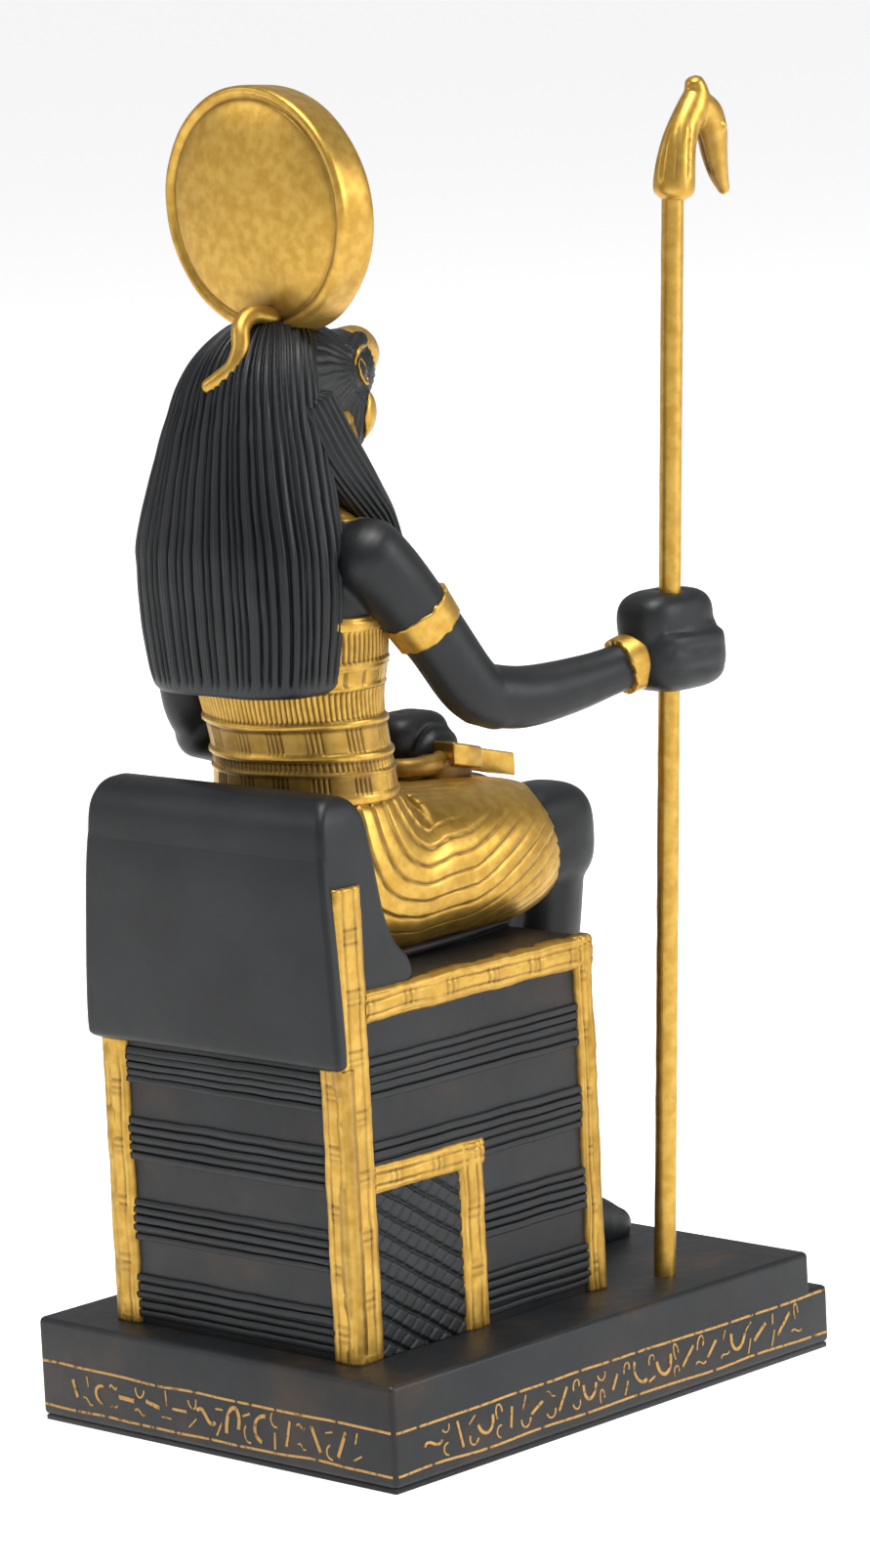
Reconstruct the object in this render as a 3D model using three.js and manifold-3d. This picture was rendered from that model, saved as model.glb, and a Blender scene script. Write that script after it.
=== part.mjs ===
// A seated falcon-headed god in cold-cast resin: one casting with its throne and stepped plinth,
// a round sceptre rod through the right fist, the sceptre's animal head, and a pad under the plinth.
// Millimetres, +Z up. The figure faces -Y, its right hand is on -X, and the plinth's middle is x = y = 0.
import * as THREE from 'three';
import { mergeVertices } from 'three/addons/utils/BufferGeometryUtils.js';
import Module from 'manifold-3d';

const wasm = await Module();
wasm.setup();

// Plinth and pad
const PLINTH_HALF_WIDTH = 38.2;
const PLINTH_HALF_DEPTH = 50.4;
const PLINTH_TOP = 16.5;
const LEDGE_HEIGHT = 10.2;
const LEDGE_DEPTH = 4.3;
const EDGE_ROUND = 0.9;
const PAD_THICKNESS = 0.8;
const PAD_INSET = 0.3;
const GAP = 0.3;
const EMBED = 1;

// Throne block, with its raised frame and its bands of ribs
const FIELD_HALF_WIDTH = 25.2;
const FRAME_HALF_WIDTH = 26.2;
const FIELD_REAR = 43.9;
const FRAME_REAR = 44.7;
const FIELD_FRONT = -10.8;
const FRAME_FRONT = -11.4;
const SEAT_HEIGHT = 72.6;
const SEAT_EDGE_ROUND = 1.6;
const REAR_POST_WIDTH = 6.2;
const FRONT_POST_WIDTH = 3.8;
const BACK_POST_WIDTH = 5.5;
const TOP_RAIL_HEIGHT = 5;
const REAR_POST_TOP = 88.6;
const PANEL_TOP = 46;
const PANEL_FRONT = 15.1;
const PANEL_POST_WIDTH = 5.6;
const PANEL_RAIL_HEIGHT = 4.5;
const RIBS_PER_BAND = 4;
const RIB_PROUD = 0.6;
const RIB_BANDS = [[17.6, 24.6], [29.8, 36.6], [42.4, 49.5], [55.6, 62.4]];
const REAR_TOP_BAND = [54.6, 60.4];

// Sun disk
const DISK_RADIUS = 18.7;
const DISK_THICKNESS = 7.2;
const DISK_CENTRE = [0, 24.5, 186.8];
const DISK_LEAN = 3 * Math.PI / 180;
const DISK_RIM = 1.7;
const DISK_DOME = 1.9;
const DISK_SHEAR = 0.14;

// Wig
const WIG_FLUTES = 26;
const FLUTE_DEPTH = 0.5;

// Kilt
const KILT_PLEATS = 20;
const PLEAT_DEPTH = 0.5;

// Sceptre
const ROD_RADIUS = 1.6;
const BORE_RADIUS = ROD_RADIUS + 0.35;
const ROD_SIDES = 16;
const SOCKET_DEPTH = 3;
const ROD_FOOT = new THREE.Vector3(-28.1, -22.6, PLINTH_TOP);
const ROD_LEAN = new THREE.Vector3(-6, -5.8, 168).normalize();
const ROD_TOP_ABOVE_PLINTH = 170.5;
const SLEEVE_DEPTH = 3;

const TURN = Math.PI * 2;
const X = new THREE.Vector3(1, 0, 0);
const Y = new THREE.Vector3(0, 1, 0);
const Z = new THREE.Vector3(0, 0, 1);

// A closed geometry becomes a solid that can be joined and cut.
function solid(geometry) {
  const plain = geometry.clone();
  plain.deleteAttribute('normal');
  plain.deleteAttribute('uv');
  const merged = mergeVertices(plain, 1e-4);
  return new wasm.Manifold(new wasm.Mesh({
    numProp: 3,
    vertProperties: new Float32Array(merged.attributes.position.array),
    triVerts: new Uint32Array(merged.index.array),
  }));
}

function geometryOf(manifold) {
  const mesh = manifold.getMesh();
  const geometry = new THREE.BufferGeometry();
  geometry.setAttribute('position', new THREE.BufferAttribute(mesh.vertProperties, 3));
  geometry.setIndex(new THREE.BufferAttribute(mesh.triVerts, 1));
  geometry.computeVertexNormals();
  return geometry;
}

const join = (pieces) => pieces.reduce((whole, piece) => whole.add(piece));

function block([x0, x1], [y0, y1], [z0, z1]) {
  const geometry = new THREE.BoxGeometry(x1 - x0, y1 - y0, z1 - z0);
  geometry.translate((x0 + x1) / 2, (y0 + y1) / 2, (z0 + z1) / 2);
  return solid(geometry);
}

// A flat outline is pushed along X: its points are pairs of y and z.
function pushAlongX(outline, from, to) {
  const shape = new THREE.Shape(outline.map(([y, z]) => new THREE.Vector2(y, z)));
  const geometry = new THREE.ExtrudeGeometry(shape, { depth: to - from, bevelEnabled: false });
  geometry.applyMatrix4(new THREE.Matrix4().makeBasis(Y, Z, X));
  geometry.translate(from, 0, 0);
  return solid(geometry);
}

// A flat outline is pushed along Y: its points are pairs of x and z.
function pushAlongY(outline, from, to) {
  const shape = new THREE.Shape(outline.map(([x, z]) => new THREE.Vector2(x, z)));
  const geometry = new THREE.ExtrudeGeometry(shape, { depth: to - from, bevelEnabled: false });
  geometry.applyMatrix4(new THREE.Matrix4().makeBasis(X, Z, Y.clone().negate()));
  geometry.translate(0, to, 0);
  return solid(geometry);
}

// One closed row of points round a centre. A squareness of 2 is an ellipse, and more is boxier.
function row(centre, across, along, [halfAcross, halfAlong], squareness, count, relief) {
  return Array.from({ length: count }, (_, i) => {
    const angle = TURN * i / count;
    const c = Math.cos(angle);
    const s = Math.sin(angle);
    const reach = (Math.abs(c) ** squareness + Math.abs(s) ** squareness) ** (-1 / squareness);
    const size = Math.min(halfAcross, halfAlong);
    const carved = reach * (1 - relief(angle) / size);
    return centre.clone()
      .addScaledVector(across, c * halfAcross * carved)
      .addScaledVector(along, s * halfAlong * carved);
  });
}

// Rows are skinned one after the next, and each end is closed on its middle point.
function skin(rows) {
  const count = rows[0].length;
  const points = rows.flat();
  const faces = [];
  for (let r = 0; r + 1 < rows.length; r += 1) {
    for (let i = 0; i < count; i += 1) {
      const a = r * count + i;
      const b = r * count + (i + 1) % count;
      faces.push(a, b, b + count, a, b + count, a + count);
    }
  }
  const middle = (ring) => ring.reduce((sum, p) => sum.add(p), new THREE.Vector3()).divideScalar(count);
  const first = points.push(middle(rows[0])) - 1;
  const last = points.push(middle(rows.at(-1))) - 1;
  const top = (rows.length - 1) * count;
  for (let i = 0; i < count; i += 1) {
    const next = (i + 1) % count;
    faces.push(first, next, i, last, top + i, top + next);
  }
  const geometry = new THREE.BufferGeometry();
  geometry.setAttribute('position', new THREE.Float32BufferAttribute(points.flatMap((p) => p.toArray()), 3));
  geometry.setIndex(faces);
  return solid(geometry);
}

const smooth = () => 0;

// Level rows stacked upward: each level is [z, middle y, half width, half depth].
function tower(levels, { squareness = 2.3, count = 16, relief = smooth } = {}) {
  return skin(levels.map(([z, y, halfWidth, halfDepth]) => row(
    new THREE.Vector3(0, y, z), X, Y, [halfWidth, halfDepth], squareness, count, relief,
  )));
}

// A limb follows its stations [x, y, z, half size across, half size the other way]. Its two ends close
// over one dome row each, or over two where an end shows.
const ONE_ROW = [[0.6, 0.7]];
const TWO_ROWS = [[0.9, 0.45], [0.55, 0.82]];

function limb(stations, { count = 10, squareness = 2, relief = smooth, blunt = 0.6, dome = ONE_ROW } = {}) {
  const centres = stations.map(([x, y, z]) => new THREE.Vector3(x, y, z));
  const tangent = (i) => centres[Math.min(i + 1, centres.length - 1)].clone()
    .sub(centres[Math.max(i - 1, 0)]).normalize();
  const rowAt = (i, shift, scale) => {
    const t = tangent(i);
    const across = X.clone().addScaledVector(t, -X.dot(t)).normalize();
    const other = t.clone().cross(across);
    const [, , , a, b = a] = stations[i];
    const centre = centres[i].clone().addScaledVector(t, shift * blunt * Math.min(a, b));
    return row(centre, across, other, [a * scale, b * scale], squareness, count, relief);
  };
  const end = centres.length - 1;
  return skin([
    ...dome.map(([shift, scale]) => rowAt(0, -shift, scale)),
    ...centres.map((_, i) => rowAt(i, 0, 1)),
    ...dome.toReversed().map(([shift, scale]) => rowAt(end, shift, scale)),
  ]);
}

// A square block whose corners and edges are well rounded, such as a fist.
function knob([x, y, z], [a, b, c], { squareness = 2.7, count = 12, levels = 6 } = {}) {
  const rows = Array.from({ length: levels }, (_, i) => {
    const height = Math.sin(Math.PI * ((i + 0.5) / levels - 0.5));
    const reach = (1 - Math.abs(height) ** squareness) ** (1 / squareness);
    return row(new THREE.Vector3(x, y, z + c * height), X, Y, [a * reach, b * reach], squareness, count, smooth);
  });
  return skin(rows);
}

// A level row of a box whose four upright edges are rounded in two steps.
function boxRow(z, halfWidth, [front, rear], corner = EDGE_ROUND) {
  const middle = (front + rear) / 2;
  const halfDepth = (rear - front) / 2;
  return [[1, -1], [1, 1], [-1, 1], [-1, -1]].flatMap(([sx, sy], turn) => [0, 1, 2].map((step) => {
    const angle = Math.PI / 2 * (turn - 1 + step / 2);
    return new THREE.Vector3(
      sx * (halfWidth - corner) + corner * Math.cos(angle),
      middle + sy * (halfDepth - corner) + corner * Math.sin(angle),
      z,
    );
  }));
}

// Plinth: a lower slab, and an upper slab that stands back at the front only.
function plinth() {
  const slab = (front, from, to) => skin([[from, 0], [to - EDGE_ROUND, 0], [to, EDGE_ROUND]].map(
    ([z, inset]) => boxRow(z, PLINTH_HALF_WIDTH - inset, [front + inset, PLINTH_HALF_DEPTH - inset]),
  ));
  const lower = slab(-PLINTH_HALF_DEPTH, PAD_THICKNESS + GAP, LEDGE_HEIGHT);
  const upper = slab(-PLINTH_HALF_DEPTH + LEDGE_DEPTH, PAD_THICKNESS + GAP, PLINTH_TOP);
  return lower.add(upper);
}

// One band of ribs seen end on: a saw-tooth of equal louvres that rises from the field.
function ribOutline([low, high], field) {
  const pitch = (high - low) / RIBS_PER_BAND;
  const teeth = Array.from({ length: RIBS_PER_BAND }, (_, k) => [
    [field, low + pitch * k],
    [field + RIB_PROUD, low + pitch * (k + 0.2)],
    [field + RIB_PROUD, low + pitch * (k + 0.8)],
  ]).flat();
  return [[field - EMBED, low], ...teeth, [field, high], [field - EMBED, high]];
}

// Throne: a block with raised posts and rails at each corner, bands of ribs between them, and a plain
// panel at the lower rear of each side. Every added strip reaches EMBED into the block.
function throne() {
  const bottom = PLINTH_TOP - EMBED;
  const r = SEAT_EDGE_ROUND;
  const railBottom = SEAT_HEIGHT - TOP_RAIL_HEIGHT;
  const rearPost = [FRAME_REAR - REAR_POST_WIDTH, FRAME_REAR];
  const frontPost = [FRAME_FRONT, FRAME_FRONT + FRONT_POST_WIDTH];
  const pieces = [pushAlongX([
    [FIELD_REAR, bottom], [FIELD_REAR, SEAT_HEIGHT], [FIELD_FRONT + r, SEAT_HEIGHT],
    [FIELD_FRONT + 0.3 * r, SEAT_HEIGHT - 0.3 * r], [FIELD_FRONT, SEAT_HEIGHT - r], [FIELD_FRONT, bottom],
  ], -FIELD_HALF_WIDTH, FIELD_HALF_WIDTH)];
  for (const side of [-1, 1]) {
    const between = (from, to) => [side * from, side * to].sort((a, b) => a - b);
    const strip = between(FIELD_HALF_WIDTH - EMBED, FRAME_HALF_WIDTH);
    pieces.push(
      pushAlongX([
        [rearPost[0], bottom], [rearPost[1], bottom], [rearPost[1], SEAT_HEIGHT],
        [rearPost[1] - 0.8, REAR_POST_TOP - 1.6], [rearPost[1] - 2.6, REAR_POST_TOP],
        [rearPost[0] + 1.4, REAR_POST_TOP - 1.2], [rearPost[0], SEAT_HEIGHT - 3],
      ], ...strip),
      pushAlongX([
        [frontPost[0], bottom], [frontPost[1], bottom], [frontPost[1], railBottom],
        [rearPost[0] + EMBED, railBottom], [rearPost[0] + EMBED, SEAT_HEIGHT],
        [frontPost[0] + r, SEAT_HEIGHT], [frontPost[0], SEAT_HEIGHT - r],
      ], ...strip),
      block(strip, [PANEL_FRONT, rearPost[0] + EMBED], [PANEL_TOP - PANEL_RAIL_HEIGHT, PANEL_TOP]),
      block(strip, [PANEL_FRONT, PANEL_FRONT + PANEL_POST_WIDTH], [bottom, PANEL_TOP]),
      block(
        between(FRAME_HALF_WIDTH - BACK_POST_WIDTH, FRAME_HALF_WIDTH),
        [FIELD_REAR - EMBED, FRAME_REAR], [bottom, REAR_TOP_BAND[1] + 4],
      ),
      block(
        between(FRAME_HALF_WIDTH - FRONT_POST_WIDTH, FRAME_HALF_WIDTH),
        [FRAME_FRONT, FIELD_FRONT + EMBED], [bottom, SEAT_HEIGHT - r],
      ),
    );
    for (const band of RIB_BANDS) {
      const rearEnd = band[0] < PANEL_TOP - PANEL_RAIL_HEIGHT ? PANEL_FRONT + EMBED : rearPost[0] + EMBED;
      const outline = ribOutline(band, FIELD_HALF_WIDTH).map(([x, z]) => [side * x, z]);
      pieces.push(pushAlongY(side < 0 ? outline.toReversed() : outline, frontPost[1] - EMBED, rearEnd));
    }
  }
  for (const band of [...RIB_BANDS.slice(0, -1), REAR_TOP_BAND]) {
    const reach = FRAME_HALF_WIDTH - BACK_POST_WIDTH + EMBED;
    pieces.push(pushAlongX(ribOutline(band, FIELD_REAR), -reach, reach));
  }
  return join(pieces);
}

// Seat-back: a padded slab that flares forward at its foot, with a broader strip down its rear.
function seatBack() {
  const profile = [
    // z, front y, rear y, half width
    [61.6, 38, 45.4, 25], [72, 27.6, 46.5, 25], [75.4, 28, 46.5, 25.1], [79.2, 31.2, 46.5, 25.2],
    [84, 33.1, 46.4, 25.2], [93, 34.9, 46.1, 25.2], [97.6, 35.8, 45.7, 24.9], [100.4, 37, 44.4, 24],
    [102, 39.3, 42.4, 22.4],
  ];
  const strip = [[61.6, 45.6, 26.2], [62.6, 46.5, 27.1], [76, 46.5, 26.4], [90, 46.3, 25.5], [94, 46, 24.9]];
  return join([
    skin(profile.map(([z, front, rear, half]) => boxRow(z, half, [front, rear], 1.1))),
    skin(strip.map(([z, rear, half]) => boxRow(z, half, [FRAME_REAR - 0.4, rear], 0.7))),
  ]);
}

// The wig hangs as a broad fluted block behind, with a smooth hem band.
function wig() {
  const levels = [
    // z, middle y, half width, half depth
    [115.4, 32.5, 16, 9.4], [117.4, 32.8, 17.2, 10.2], [126, 33, 18.2, 10.6], [138, 32.2, 18.6, 11.5], [145, 30.6, 17.2, 12.3], [151, 28.6, 15.7, 13.2], [157, 27, 14.1, 13.2],
    [162.5, 26.2, 12.2, 12], [167, 25.8, 9.8, 9.6], [170.6, 25.5, 5, 5],
  ];
  const flutes = (angle) => {
    const back = Math.sin(angle) > -0.55 ? 1 : 0;
    return back * FLUTE_DEPTH * (1 - Math.abs(Math.cos(WIG_FLUTES * angle / 2)));
  };
  const lappet = (side) => limb([
    [side * 9, 26, 156, 4.5, 3], [side * 11.5, 24.4, 149, 5, 3.2], [side * 12.6, 20.8, 142, 5, 3],
    [side * 10.2, 16.6, 134, 4.4, 2.6], [side * 9.2, 13.4, 125, 4, 2.2],
  ], { squareness: 3, blunt: 0.4 });
  return join([tower(levels, { squareness: 2.9, count: WIG_FLUTES * 2, relief: flutes }), lappet(-1), lappet(1)]);
}

// Falcon head: the skull runs forward to a short hooked beak, over full cheeks and a throat.
function head() {
  const skull = limb([
    [0, 26, 160, 10, 9.5], [0, 20, 160.5, 9.8, 9.2], [0, 15, 160.8, 8.2, 8], [0, 11.4, 161.4, 6, 6.2],
  ], { count: 14, blunt: 0.9 });
  const beak = limb([
    [0, 13, 164.4, 3.8, 3.2], [0, 8.2, 164.6, 3, 2.8], [0, 5.6, 162.8, 2.1, 2.2], [0, 5.2, 160.6, 1.1, 1.1],
  ], { blunt: 0.9, dome: TWO_ROWS });
  const throat = limb([
    [0, 17.6, 157, 8, 6.2], [0, 18.6, 151, 8.2, 6], [0, 20.4, 144, 9, 7], [0, 23, 136, 10, 8],
  ]);
  const cheeks = [-1, 1].map((side) => knob(
    [side * 4.5, 15.4, 153.8], [3, 3, 4.8], { squareness: 2, count: 8, levels: 4 },
  ));
  return join([skull, beak, throat, ...cheeks]);
}

// Sun disk: a round plate with a raised rim and a low dome on both faces.
function sunDisk() {
  const half = DISK_THICKNESS / 2;
  const domed = DISK_RADIUS - DISK_RIM;
  const dome = Array.from({ length: 3 }, (_, i) => {
    const angle = Math.PI / 2 * i / 3;
    return [domed * Math.sin(angle), half - 0.7 + DISK_DOME * Math.cos(angle)];
  });
  const face = [...dome, [domed, half - 0.7], [DISK_RADIUS - 1, half], [DISK_RADIUS - 0.1, half - 0.8]];
  const around = [...face, ...face.toReversed().map(([r, y]) => [r, -y])];
  const lathe = new THREE.LatheGeometry(around.map(([r, y]) => new THREE.Vector2(r, -y)), 32);
  lathe.applyMatrix4(new THREE.Matrix4().makeShear(0, 0, 0, DISK_SHEAR, 0, 0));
  lathe.rotateX(-DISK_LEAN);
  lathe.translate(...DISK_CENTRE);
  return solid(lathe);
}

// The serpent's tail comes from the disk's foot and hangs on the back of the wig.
function serpentTail() {
  return limb([
    [-2.6, 27.5, 171, 1.5], [-1.8, 31, 171.6, 1.5], [-2.2, 33.8, 170, 1.45], [-3, 35, 167, 1.4],
    [-2.6, 36.2, 164.4, 1.35], [-1, 37.4, 162.8, 1.3], [0.8, 38.2, 161.6, 1.2],
  ], { count: 8, blunt: 0.8, dome: TWO_ROWS });
}

function torso() {
  return tower([
    // z, middle y, half width, half depth
    [84, 24, 17, 10], [93, 23.2, 16, 10.8], [100, 23.1, 15.3, 10.9], [107, 24, 15.1, 10.8],
    [113, 25.2, 15.5, 11.1], [120, 25.6, 17, 12], [127, 25.8, 17.8, 11.8], [134, 26.2, 17.8, 10],
    [139, 26.4, 16.4, 8.2], [142.6, 26.6, 12, 6],
  ], { squareness: 2.2, count: 20 });
}

// Kilt: rows fan from the waist round the hips, and then run forward over both thighs. Its pleats
// follow the rows' points, so they sweep from the small of the back round the hip to the knee.
function kilt() {
  const crease = { y: 11, z: 99 };
  const fan = [
    // degrees from level, near reach, far reach, half width
    [-14, 2, 23.6, 14.8], [8, 1.5, 24.6, 16.2], [30, 1, 27.4, 17.4], [50, 1, 30.4, 18.2], [70, 2, 28.6, 18.6],
  ].map(([degrees, near, far, half]) => {
    const angle = degrees * Math.PI / 180;
    const out = new THREE.Vector3(0, Math.cos(angle), -Math.sin(angle));
    const centre = new THREE.Vector3(0, crease.y, crease.z).addScaledVector(out, (near + far) / 2);
    return { centre, out, half, deep: (far - near) / 2 };
  });
  const forward = [
    // y, top z, bottom z, half width
    [10, 98, 72, 18.8], [0, 97.6, 72, 18.7], [-9, 96.8, 72.2, 18], [-16, 95.4, 73.6, 16.8], [-20.5, 93, 76, 15],
  ].map(([y, top, bottom, half]) => ({
    centre: new THREE.Vector3(0, y, (top + bottom) / 2), out: Z.clone().negate(), half, deep: (top - bottom) / 2,
  }));
  const pleats = (angle) => {
    const lower = Math.sin(angle) > -0.75 ? 1 : 0;
    const between = Math.sin(angle) < -0.8 ? 1.1 * Math.abs(Math.sin(angle)) ** 8 : 0;
    return lower * PLEAT_DEPTH * (1 - Math.abs(Math.cos(KILT_PLEATS * angle / 2))) + between;
  };
  return skin([...fan, ...forward].map(({ centre, out, half, deep }) => row(
    centre, X.clone().negate(), out, [half, deep], 2.7, KILT_PLEATS * 2, pleats,
  )));
}

function rightArm() {
  const upper = limb([
    [-17.6, 25.6, 137.4, 6.2, 6], [-19, 21.6, 131.6, 5.8, 5.8], [-20.6, 15, 122.6, 4.9, 5.2],
    [-22, 9, 114, 4.7, 5], [-22.6, 4, 111, 4.6, 4.6],
  ], { blunt: 0.9 });
  const fore = limb([
    [-22, 8, 112.6, 4.6, 4.8], [-23.6, 0, 111, 4.6, 4.8], [-26, -8, 111.6, 4.2, 4.3],
    [-28.6, -16, 113.2, 3.6, 3.7], [-30, -21.5, 114.8, 4, 4],
  ]);
  const armlet = limb([[-19.8, 18, 126.8, 5.6, 5.9], [-20.5, 15.6, 123.2, 5.3, 5.6]], { blunt: 0.12 });
  const bracelet = limb([[-29, -17.4, 113.6, 4.4, 4.5], [-30, -21.2, 114.6, 4.6, 4.7]], { blunt: 0.12 });
  const fist = knob([-31.2, -26.4, 116.8], [6.2, 8.8, 7.7], { squareness: 3 });
  return join([upper, fore, armlet, bracelet, fist]);
}

function leftArm() {
  const upper = limb([
    [17.4, 26.4, 138, 5.4, 5.4], [18.8, 27, 132, 5.9, 5.8], [20.6, 26.6, 122, 5, 5.1],
    [21, 25.4, 112, 4.8, 5.2], [20.8, 23, 107.4, 4.9, 5.2],
  ], { blunt: 0.9 });
  const fore = limb([
    [20.8, 25, 107.2, 4.9, 5], [19, 17, 104.8, 4.9, 4.9], [14.6, 6, 103.4, 4.3, 4.3],
    [9.6, -2.4, 102.2, 3.7, 3.7], [7, -6, 101.8, 4, 4],
  ]);
  const armlet = limb([[20.5, 26.9, 124.6, 5.7, 5.9], [20.7, 26.7, 120.8, 5.7, 5.9]], { blunt: 0.12 });
  const bracelet = limb([[12, 1.4, 102.8, 4.5, 4.5], [10.4, -1.2, 102.4, 4.5, 4.5]], { blunt: 0.12 });
  const fist = knob([5, -7.2, 100.8], [5.4, 5.4, 5.2]);
  return join([upper, fore, armlet, bracelet, fist]);
}

// The looped cross lies on the lap: its loop is under the fist and its stem points forward.
function loopedCross() {
  const z = [94.4, 99.6];
  const plate = (outline) => {
    const shape = new THREE.Shape(outline.map(([x, y]) => new THREE.Vector2(x, y)));
    const geometry = new THREE.ExtrudeGeometry(shape, { depth: z[1] - z[0], bevelEnabled: false });
    geometry.translate(0, 0, z[0]);
    return solid(geometry);
  };
  const cross = { x: 2, y: -7.4 };
  const bar = plate([
    [cross.x - 7, cross.y - 2.4], [cross.x, cross.y - 1], [cross.x + 7, cross.y - 2.4],
    [cross.x + 7, cross.y + 2.4], [cross.x, cross.y + 1], [cross.x - 7, cross.y + 2.4],
  ]);
  const stem = plate([
    [cross.x - 2.6, cross.y - 13], [cross.x + 2.6, cross.y - 13], [cross.x + 1.1, cross.y], [cross.x - 1.1, cross.y],
  ]);
  const loop = knob([cross.x, cross.y + 6, 96], [4.6, 6.4, 2.6], { squareness: 2.4, levels: 4 });
  return join([bar, stem, loop]);
}

// Each leg comes down from a square knee to a narrow ankle, and its foot reaches forward along the plinth.
function leg(side) {
  const knee = knob([side * 9.2, -18.6, 85.6], [7.2, 8.6, 8.4], { squareness: 3, levels: 5 });
  const thigh = limb([[side * 9.2, -8, 86, 7.6, 8], [side * 9.3, -18, 86.4, 7.2, 7.8]], { blunt: 0.3 });
  const shin = limb([
    [side * 9.2, -18.8, 87, 6.8, 7.6], [side * 9, -19.4, 78, 6.2, 6.6], [side * 8.2, -19.4, 66, 5.4, 6],
    [side * 7, -19.4, 52, 4.9, 5.4], [side * 5.4, -19.2, 34, 3.8, 4.2], [side * 4.6, -19.2, 23, 3.6, 4.2],
  ], { blunt: 0.3 });
  const foot = limb([
    [side * 4.3, -18, 20, 3.4, 4.6], [side * 4.4, -25, 21.2, 3.6, 5.2], [side * 4.2, -32, 19.8, 3.6, 4.5],
    [side * 4, -36.6, 18.4, 3.4, 3.3],
  ], { squareness: 2.6, blunt: 1.3, dome: TWO_ROWS });
  return join([knee, thigh, shin, foot]);
}

function casting() {
  const behindLegs = tower([
    [PLINTH_TOP - 2, -14, 5, 6], [34, -14, 5.4, 6], [66, -14, 9, 6], [SEAT_HEIGHT + 4, -13, 11, 6],
  ], { squareness: 8 });
  const cushion = limb([
    [0, 33, 72.6, 18.8, 2], [0, 2, 72.8, 19.2, 2], [0, -8.4, 73, 18.6, 2],
  ], { squareness: 5, count: 12, blunt: 0.5 });
  const neck = tower([[134, 24, 10, 9], [146, 23, 9.6, 9], [156, 23, 9.4, 9]]);
  const whole = join([
    plinth(), throne(), seatBack(), torso(), neck, head(), wig(), sunDisk(), serpentTail(),
    kilt(), cushion, behindLegs, leg(-1), leg(1), rightArm(), leftArm(), loopedCross(),
  ]);
  const bore = rodSection(BORE_RADIUS, -SOCKET_DEPTH - GAP, ROD_TOP_ABOVE_PLINTH);
  return whole.subtract(bore);
}

// A stretch of the leaning rod, measured along it from the plinth's top.
function rodSection(radius, from, to) {
  const geometry = new THREE.CylinderGeometry(radius, radius, to - from, ROD_SIDES);
  geometry.applyQuaternion(new THREE.Quaternion().setFromUnitVectors(Y, ROD_LEAN));
  const middle = ROD_FOOT.clone().addScaledVector(ROD_LEAN, (from + to) / 2);
  geometry.translate(...middle.toArray());
  return solid(geometry);
}

// Sceptre head: a sleeve on the rod, a neck that leans forward, an upright ear and a long snout.
function sceptreHead() {
  const top = ROD_FOOT.clone().addScaledVector(ROD_LEAN, ROD_TOP_ABOVE_PLINTH);
  const at = (forward, up, a, b) => [top.x - 0.0357 * up, top.y - forward, top.z + up, a, b];
  const neck = limb([
    at(0, -2.2, 2.1, 2.2), at(0, -1, 3.1, 3.2), at(0.5, 4, 2.8, 3), at(1.8, 7.6, 2.5, 2.7), at(4, 10.8, 2.3, 2.6),
    at(5.4, 13, 2.1, 2.6),
  ], { count: 8, blunt: 0.3 });
  const ear = limb([at(5.2, 11, 2, 2.8), at(5.3, 14, 1.7, 2.2), at(5.8, 16.2, 1.3, 1.5)], { count: 8 });
  const snout = limb([
    at(5, 13.8, 1.7, 2), at(7.2, 11, 2.2, 3.1), at(9.4, 7.4, 2, 2.7), at(11, 3, 1.5, 1.9), at(12.3, -0.4, 1, 1.2),
  ], { count: 8, dome: TWO_ROWS });
  const sleeve = rodSection(BORE_RADIUS, ROD_TOP_ABOVE_PLINTH - SLEEVE_DEPTH - 4, ROD_TOP_ABOVE_PLINTH + GAP);
  return join([neck, ear, snout]).subtract(sleeve);
}

function pad() {
  const half = [PLINTH_HALF_WIDTH - PAD_INSET, PLINTH_HALF_DEPTH - PAD_INSET];
  return block([-half[0], half[0]], [-half[1], half[1]], [0, PAD_THICKNESS]);
}

const blackResin = new THREE.MeshStandardMaterial({ color: 0x35393a, roughness: 0.55, metalness: 0 });
const goldPaint = new THREE.MeshStandardMaterial({ color: 0xc9a84c, roughness: 0.4, metalness: 0.6 });
const blackFelt = new THREE.MeshStandardMaterial({ color: 0x0d0d0e, roughness: 1, metalness: 0 });

const group = new THREE.Group();
const pieces = [
  ['statue', casting(), blackResin],
  ['sceptre_staff', rodSection(ROD_RADIUS, -SOCKET_DEPTH, ROD_TOP_ABOVE_PLINTH), goldPaint],
  ['sceptre_head', sceptreHead(), goldPaint],
  ['base_felt', pad(), blackFelt],
];
for (const [name, piece, material] of pieces) {
  const mesh = new THREE.Mesh(geometryOf(piece), material);
  mesh.name = name;
  group.add(mesh);
}

export default group;
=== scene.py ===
# %% [markdown]
# # A seated falcon-headed god in cold-cast resin
# The real statuette is one casting of stone-filled resin, painted satin black and then picked out by
# hand in antique gold. Only the sceptre's rod, the sceptre's head and the felt under the plinth are
# separate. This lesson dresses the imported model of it: every visible surface is made here, in the same
# frame, in millimetres that one factor turns to Blender's metres.

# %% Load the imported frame
import bpy
import bmesh
import numpy as np
from mathutils import Matrix, Vector
from mathutils.bvhtree import BVHTree


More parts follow.
